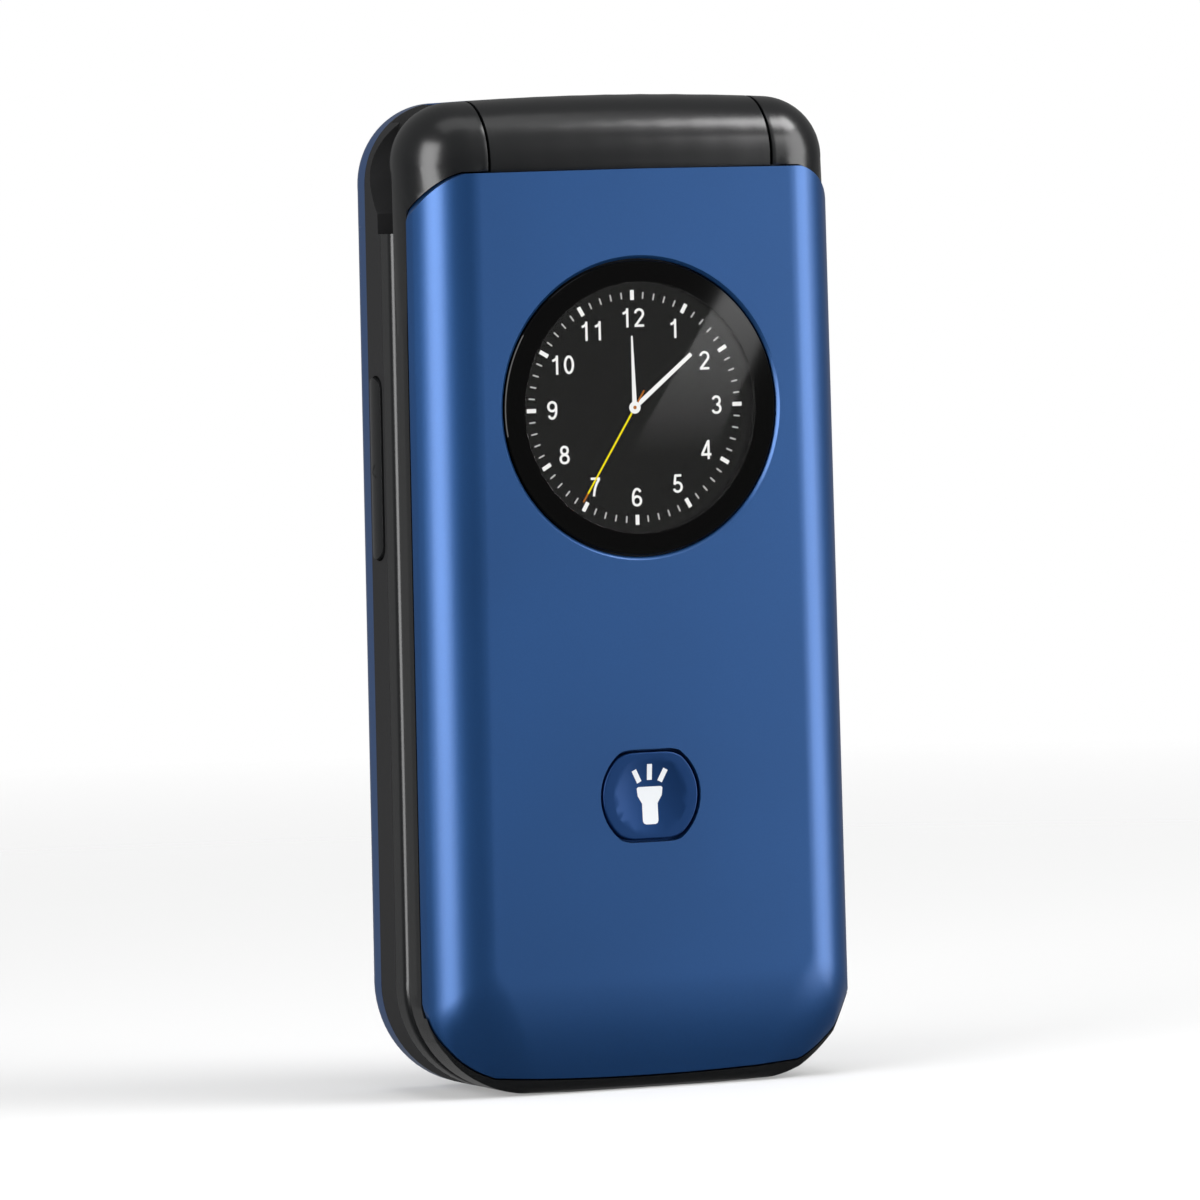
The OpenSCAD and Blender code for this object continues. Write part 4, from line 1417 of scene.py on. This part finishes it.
def direction(azimuth: float, elevation: float) -> Vector:
    """A direction out of the phone.

    Args:
        azimuth: Degrees from the front, towards +X.
        elevation: Degrees above level.

    Returns:
        The unit vector.
    """
    a, e = math.radians(azimuth), math.radians(elevation)
    return Vector((math.sin(a) * math.cos(e), -math.cos(a) * math.cos(e), math.sin(e)))


@dataclass(frozen=True)
class Softbox:
    """An even, rectangular light."""

    name: str
    azimuth: float
    elevation: float
    distance: float
    width: float
    height: float
    radiance: float
    lights_only: bpy.types.Object | None = None

    def build(self, aim: Vector) -> None:
        """Adds the light, turned towards a point.

        Args:
            aim: The point that it faces.
        """
        out = direction(self.azimuth, self.elevation)
        data = bpy.data.lights.new(self.name, "AREA")
        data.shape = "RECTANGLE"
        data.size, data.size_y = self.width, self.height
        data.energy = self.radiance * math.pi * self.width * self.height
        lamp = bpy.data.objects.new(self.name, data)
        bpy.context.scene.collection.objects.link(lamp)
        lamp.location = aim + out * self.distance
        lamp.rotation_mode = "QUATERNION"
        lamp.rotation_quaternion = out.to_track_quat("Z", "Y")
        if self.lights_only is not None:
            lit = bpy.data.collections.new(self.name)
            lit.objects.link(self.lights_only)
            lamp.light_linking.receiver_collection = lit


@dataclass
class Studio:
    """A pale floor, soft light and the camera.

    A name that ends in px is in pixels of a picture frame_px wide. A span is the part of a
    direction's height or depth over which the world's light changes.
    """

    azimuth: float = -23.6
    elevation: float = 2.6
    roll: float = 1.43
    distance: float = 1.006
    focal_px: float = 9130.0
    frame_px: float = 1200.0
    sensor: float = 36.0
    clip: tuple[float, float] = (0.01, 50.0)
    reference: tuple[float, float, float] = (0.0, -10.3, 60.0)
    reference_px: tuple[float, float] = (644.85, 547.39)
    aim_z: float = 0.055
    dome: tuple[float, float] = (0.03, 0.2)
    dome_span: tuple[float, float] = (-0.4, 0.9)
    back_light: float = 0.22
    back_span: tuple[float, float] = (0.1, 0.75)
    card_px: tuple[tuple[float, float], ...] = ((753, 240), (804, 240), (713, 455), (629, 455))
    card_distance: float = 0.5
    card_radiance: float = 4.2
    card_fade: float = 0.7
    mirror_y: float = FRONT_Y + 0.1
    floor_r: float = 0.6
    floor_near: float = 0.05
    floor_share: float = 0.7
    floor_colour: str = "#fafafa"
    floor_roughness: float = 0.9

    def build(self) -> None:
        """Builds the whole studio."""
        self.world()
        floor = self.floor()
        for box in (
            Softbox("softbox_left", -65, 14, 0.7, 0.4, 0.7, 4.9),
            Softbox("softbox_right", 54, 10, 0.7, 0.46, 0.74, 3.4),
            Softbox("softbox_right_high", 64, 50, 0.7, 0.24, 0.24, 8.0),
            Softbox("softbox_top", 0, 80, 0.9, 0.7, 0.4, 0.8),
            Softbox("softbox_floor", 0, 85, 0.9, 0.6, 0.6, 2.6, floor),
        ):
            box.build(Vector((0, 0, self.aim_z)))
        self.camera()
        self.card()

    def world(self) -> None:
        """White where the camera sees it, also through glass, and a dim dome as light."""
        world = bpy.data.worlds.new("studio")
        bpy.context.scene.world = world
        tree = empty_tree(world)
        path = add_node(tree, "ShaderNodeLightPath")
        towards = add_node(tree, "ShaderNodeTexCoord")
        axes = add_node(tree, "ShaderNodeSeparateXYZ", {"Vector": towards.outputs["Generated"]})
        dome = add_node(tree, "ShaderNodeMapRange", {
            "Value": axes.outputs["Z"],
            "From Min": self.dome_span[0],
            "From Max": self.dome_span[1],
            "To Min": self.dome[0],
            "To Max": self.dome[1],
        })
        behind = add_node(tree, "ShaderNodeMapRange", {
            "Value": axes.outputs["Y"],
            "From Min": self.back_span[0],
            "From Max": self.back_span[1],
        })
        light = add_node(tree, "ShaderNodeMix", {
            0: behind.outputs[0],
            MIX_A: dome.outputs[0],
            MIX_B: self.back_light,
        }, data_type="FLOAT")
        seen = add_node(tree, "ShaderNodeMath", {
            0: path.outputs["Is Camera Ray"],
            1: path.outputs["Is Transmission Ray"],
        }, operation="MAXIMUM")
        strength = add_node(tree, "ShaderNodeMix", {
            0: seen.outputs[0],
            MIX_A: light.outputs[0],
            MIX_B: 1.0,
        }, data_type="FLOAT")
        background = add_node(tree, "ShaderNodeBackground", {
            "Color": (1, 1, 1, 1),
            "Strength": strength.outputs[0],
        })
        add_node(tree, "ShaderNodeOutputWorld", {"Surface": background.outputs["Background"]})

    def floor(self) -> bpy.types.Object:
        """A pale, matt floor that melts into the background far from the phone.

        Returns:
            The floor.
        """
        circle = bpy.ops.mesh.primitive_circle_add
        floor = start_from(
            "studio_floor", circle, vertices=96, radius=self.floor_r, fill_type="NGON"
        )
        material = bpy.data.materials.new("painted_board_pale")
        tree = empty_tree(material)
        place = add_node(tree, "ShaderNodeTexCoord")
        away = add_node(
            tree, "ShaderNodeVectorMath", {0: place.outputs["Object"]}, operation="LENGTH"
        )
        fade = add_node(tree, "ShaderNodeMapRange", {
            "Value": away.outputs["Value"],
            "From Min": self.floor_near,
            "From Max": self.floor_r,
            "To Min": self.floor_share,
            "To Max": 0.0,
        })
        shader = add_node(tree, "ShaderNodeBsdfPrincipled", {
            "Base Color": linear(self.floor_colour),
            "Roughness": self.floor_roughness,
            "Specular IOR Level": 0.0,
            "Alpha": fade.outputs[0],
        })
        add_node(tree, "ShaderNodeOutputMaterial", {"Surface": shader.outputs["BSDF"]})
        floor.data.materials.append(material)
        floor.visible_glossy = False
        return floor

    def camera(self) -> None:
        """The camera, aimed so that the reference point falls on its place."""
        back = direction(self.azimuth, self.elevation)
        turn, tilt = math.radians(self.azimuth), math.radians(self.roll)
        right = Vector((math.cos(turn), math.sin(turn), 0))
        up = back.cross(right)
        cam_right = right * math.cos(tilt) - up * math.sin(tilt)
        cam_up = up * math.cos(tilt) + right * math.sin(tilt)
        aside, above = self._offset(self.reference_px, self.distance)
        target = Vector(self.reference) * MM - cam_right * aside - cam_up * above
        data = bpy.data.cameras.new("camera")
        data.sensor_width = self.sensor
        data.lens = self.sensor * self.focal_px / self.frame_px
        data.clip_start, data.clip_end = self.clip
        camera = bpy.data.objects.new("camera", data)
        bpy.context.scene.collection.objects.link(camera)
        axes = Matrix((cam_right, cam_up, back)).transposed().to_4x4()
        camera.matrix_world = Matrix.Translation(target + back * self.distance) @ axes
        bpy.context.scene.camera = camera

    def card(self) -> None:
        """A slanted bright card that the window's flat glass mirrors.

        It fades to clear and not to black, because it would show dark against the white that a
        ray sees once it has been through the glass.
        """
        view = bpy.context.scene.camera.matrix_world
        reach = self.distance + self.card_distance
        corners = []
        for spot in self.card_px:
            seen = view @ Vector((*self._offset(spot, reach), -reach))
            corners.append(Vector((seen.x, 2 * self.mirror_y * MM - seen.y, seen.z)))
        card = start_from("reflector_card", bpy.ops.mesh.primitive_plane_add, size=1)
        for vertex, corner in zip(card.data.vertices, (0, 1, 3, 2), strict=True):
            vertex.co = corners[corner]
        card.visible_camera = False
        card.visible_diffuse = False
        card.visible_shadow = False
        low, high = corners[3].z, corners[0].z
        material = bpy.data.materials.new("lit_card_white")
        tree = empty_tree(material)
        place = add_node(tree, "ShaderNodeTexCoord")
        axes = add_node(tree, "ShaderNodeSeparateXYZ", {"Vector": place.outputs["Object"]})
        fade = add_node(tree, "ShaderNodeMapRange", {
            "Value": axes.outputs["Z"],
            "From Min": low,
            "From Max": low + (high - low) * self.card_fade,
        })
        glow = add_node(tree, "ShaderNodeEmission", {"Strength": self.card_radiance})
        clear = add_node(tree, "ShaderNodeBsdfTransparent")
        mixed = add_node(tree, "ShaderNodeMixShader", {
            0: fade.outputs[0],
            1: clear.outputs["BSDF"],
            2: glow.outputs["Emission"],
        })
        add_node(tree, "ShaderNodeOutputMaterial", {"Surface": mixed.outputs["Shader"]})
        card.data.materials.append(material)

    def _offset(self, spot_px: tuple[float, float], reach: float) -> tuple[float, float]:
        """How far a pixel lies from the picture's middle, in metres at a distance.

        Args:
            spot_px: The pixel, across and down.
            reach: The distance from the camera.

        Returns:
            The way to the right and the way up.
        """
        per_px, middle = reach / self.focal_px, self.frame_px / 2
        return (spot_px[0] - middle) * per_px, (middle - spot_px[1]) * per_px


# ---------- putting it together ----------


def clear_start() -> None:
    """Removes whatever Blender opens with."""
    for item in list(bpy.data.objects):
        bpy.data.objects.remove(item)


def dress_solids(frame: dict) -> None:
    """Gives every solid the finish of its material slot.
    """
    for part in frame["record"]["subparts"]:
        paint(frame["nodes"][part["node"]], SLOT_FINISH[part["material_slot"]])
        LOG.info("solid %s dressed as %s", part["node"], part["material_slot"])


def main() -> None:
    """Builds every sub-assembly in order."""
    logging.basicConfig(level=logging.INFO, format="%(message)s")
    clear_start()
    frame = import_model()
    dress_solids(frame)
    for shell in shells():
        shell.build(frame)
    for assembly in (
        Clock(), TorchMark(), ArrowMark(), Keypad(), MainScreen(), CameraEye(), Studio()
    ):
        assembly.build()
    bpy.context.scene.view_settings.view_transform = "Standard"


if __name__ == "__main__":
    main()
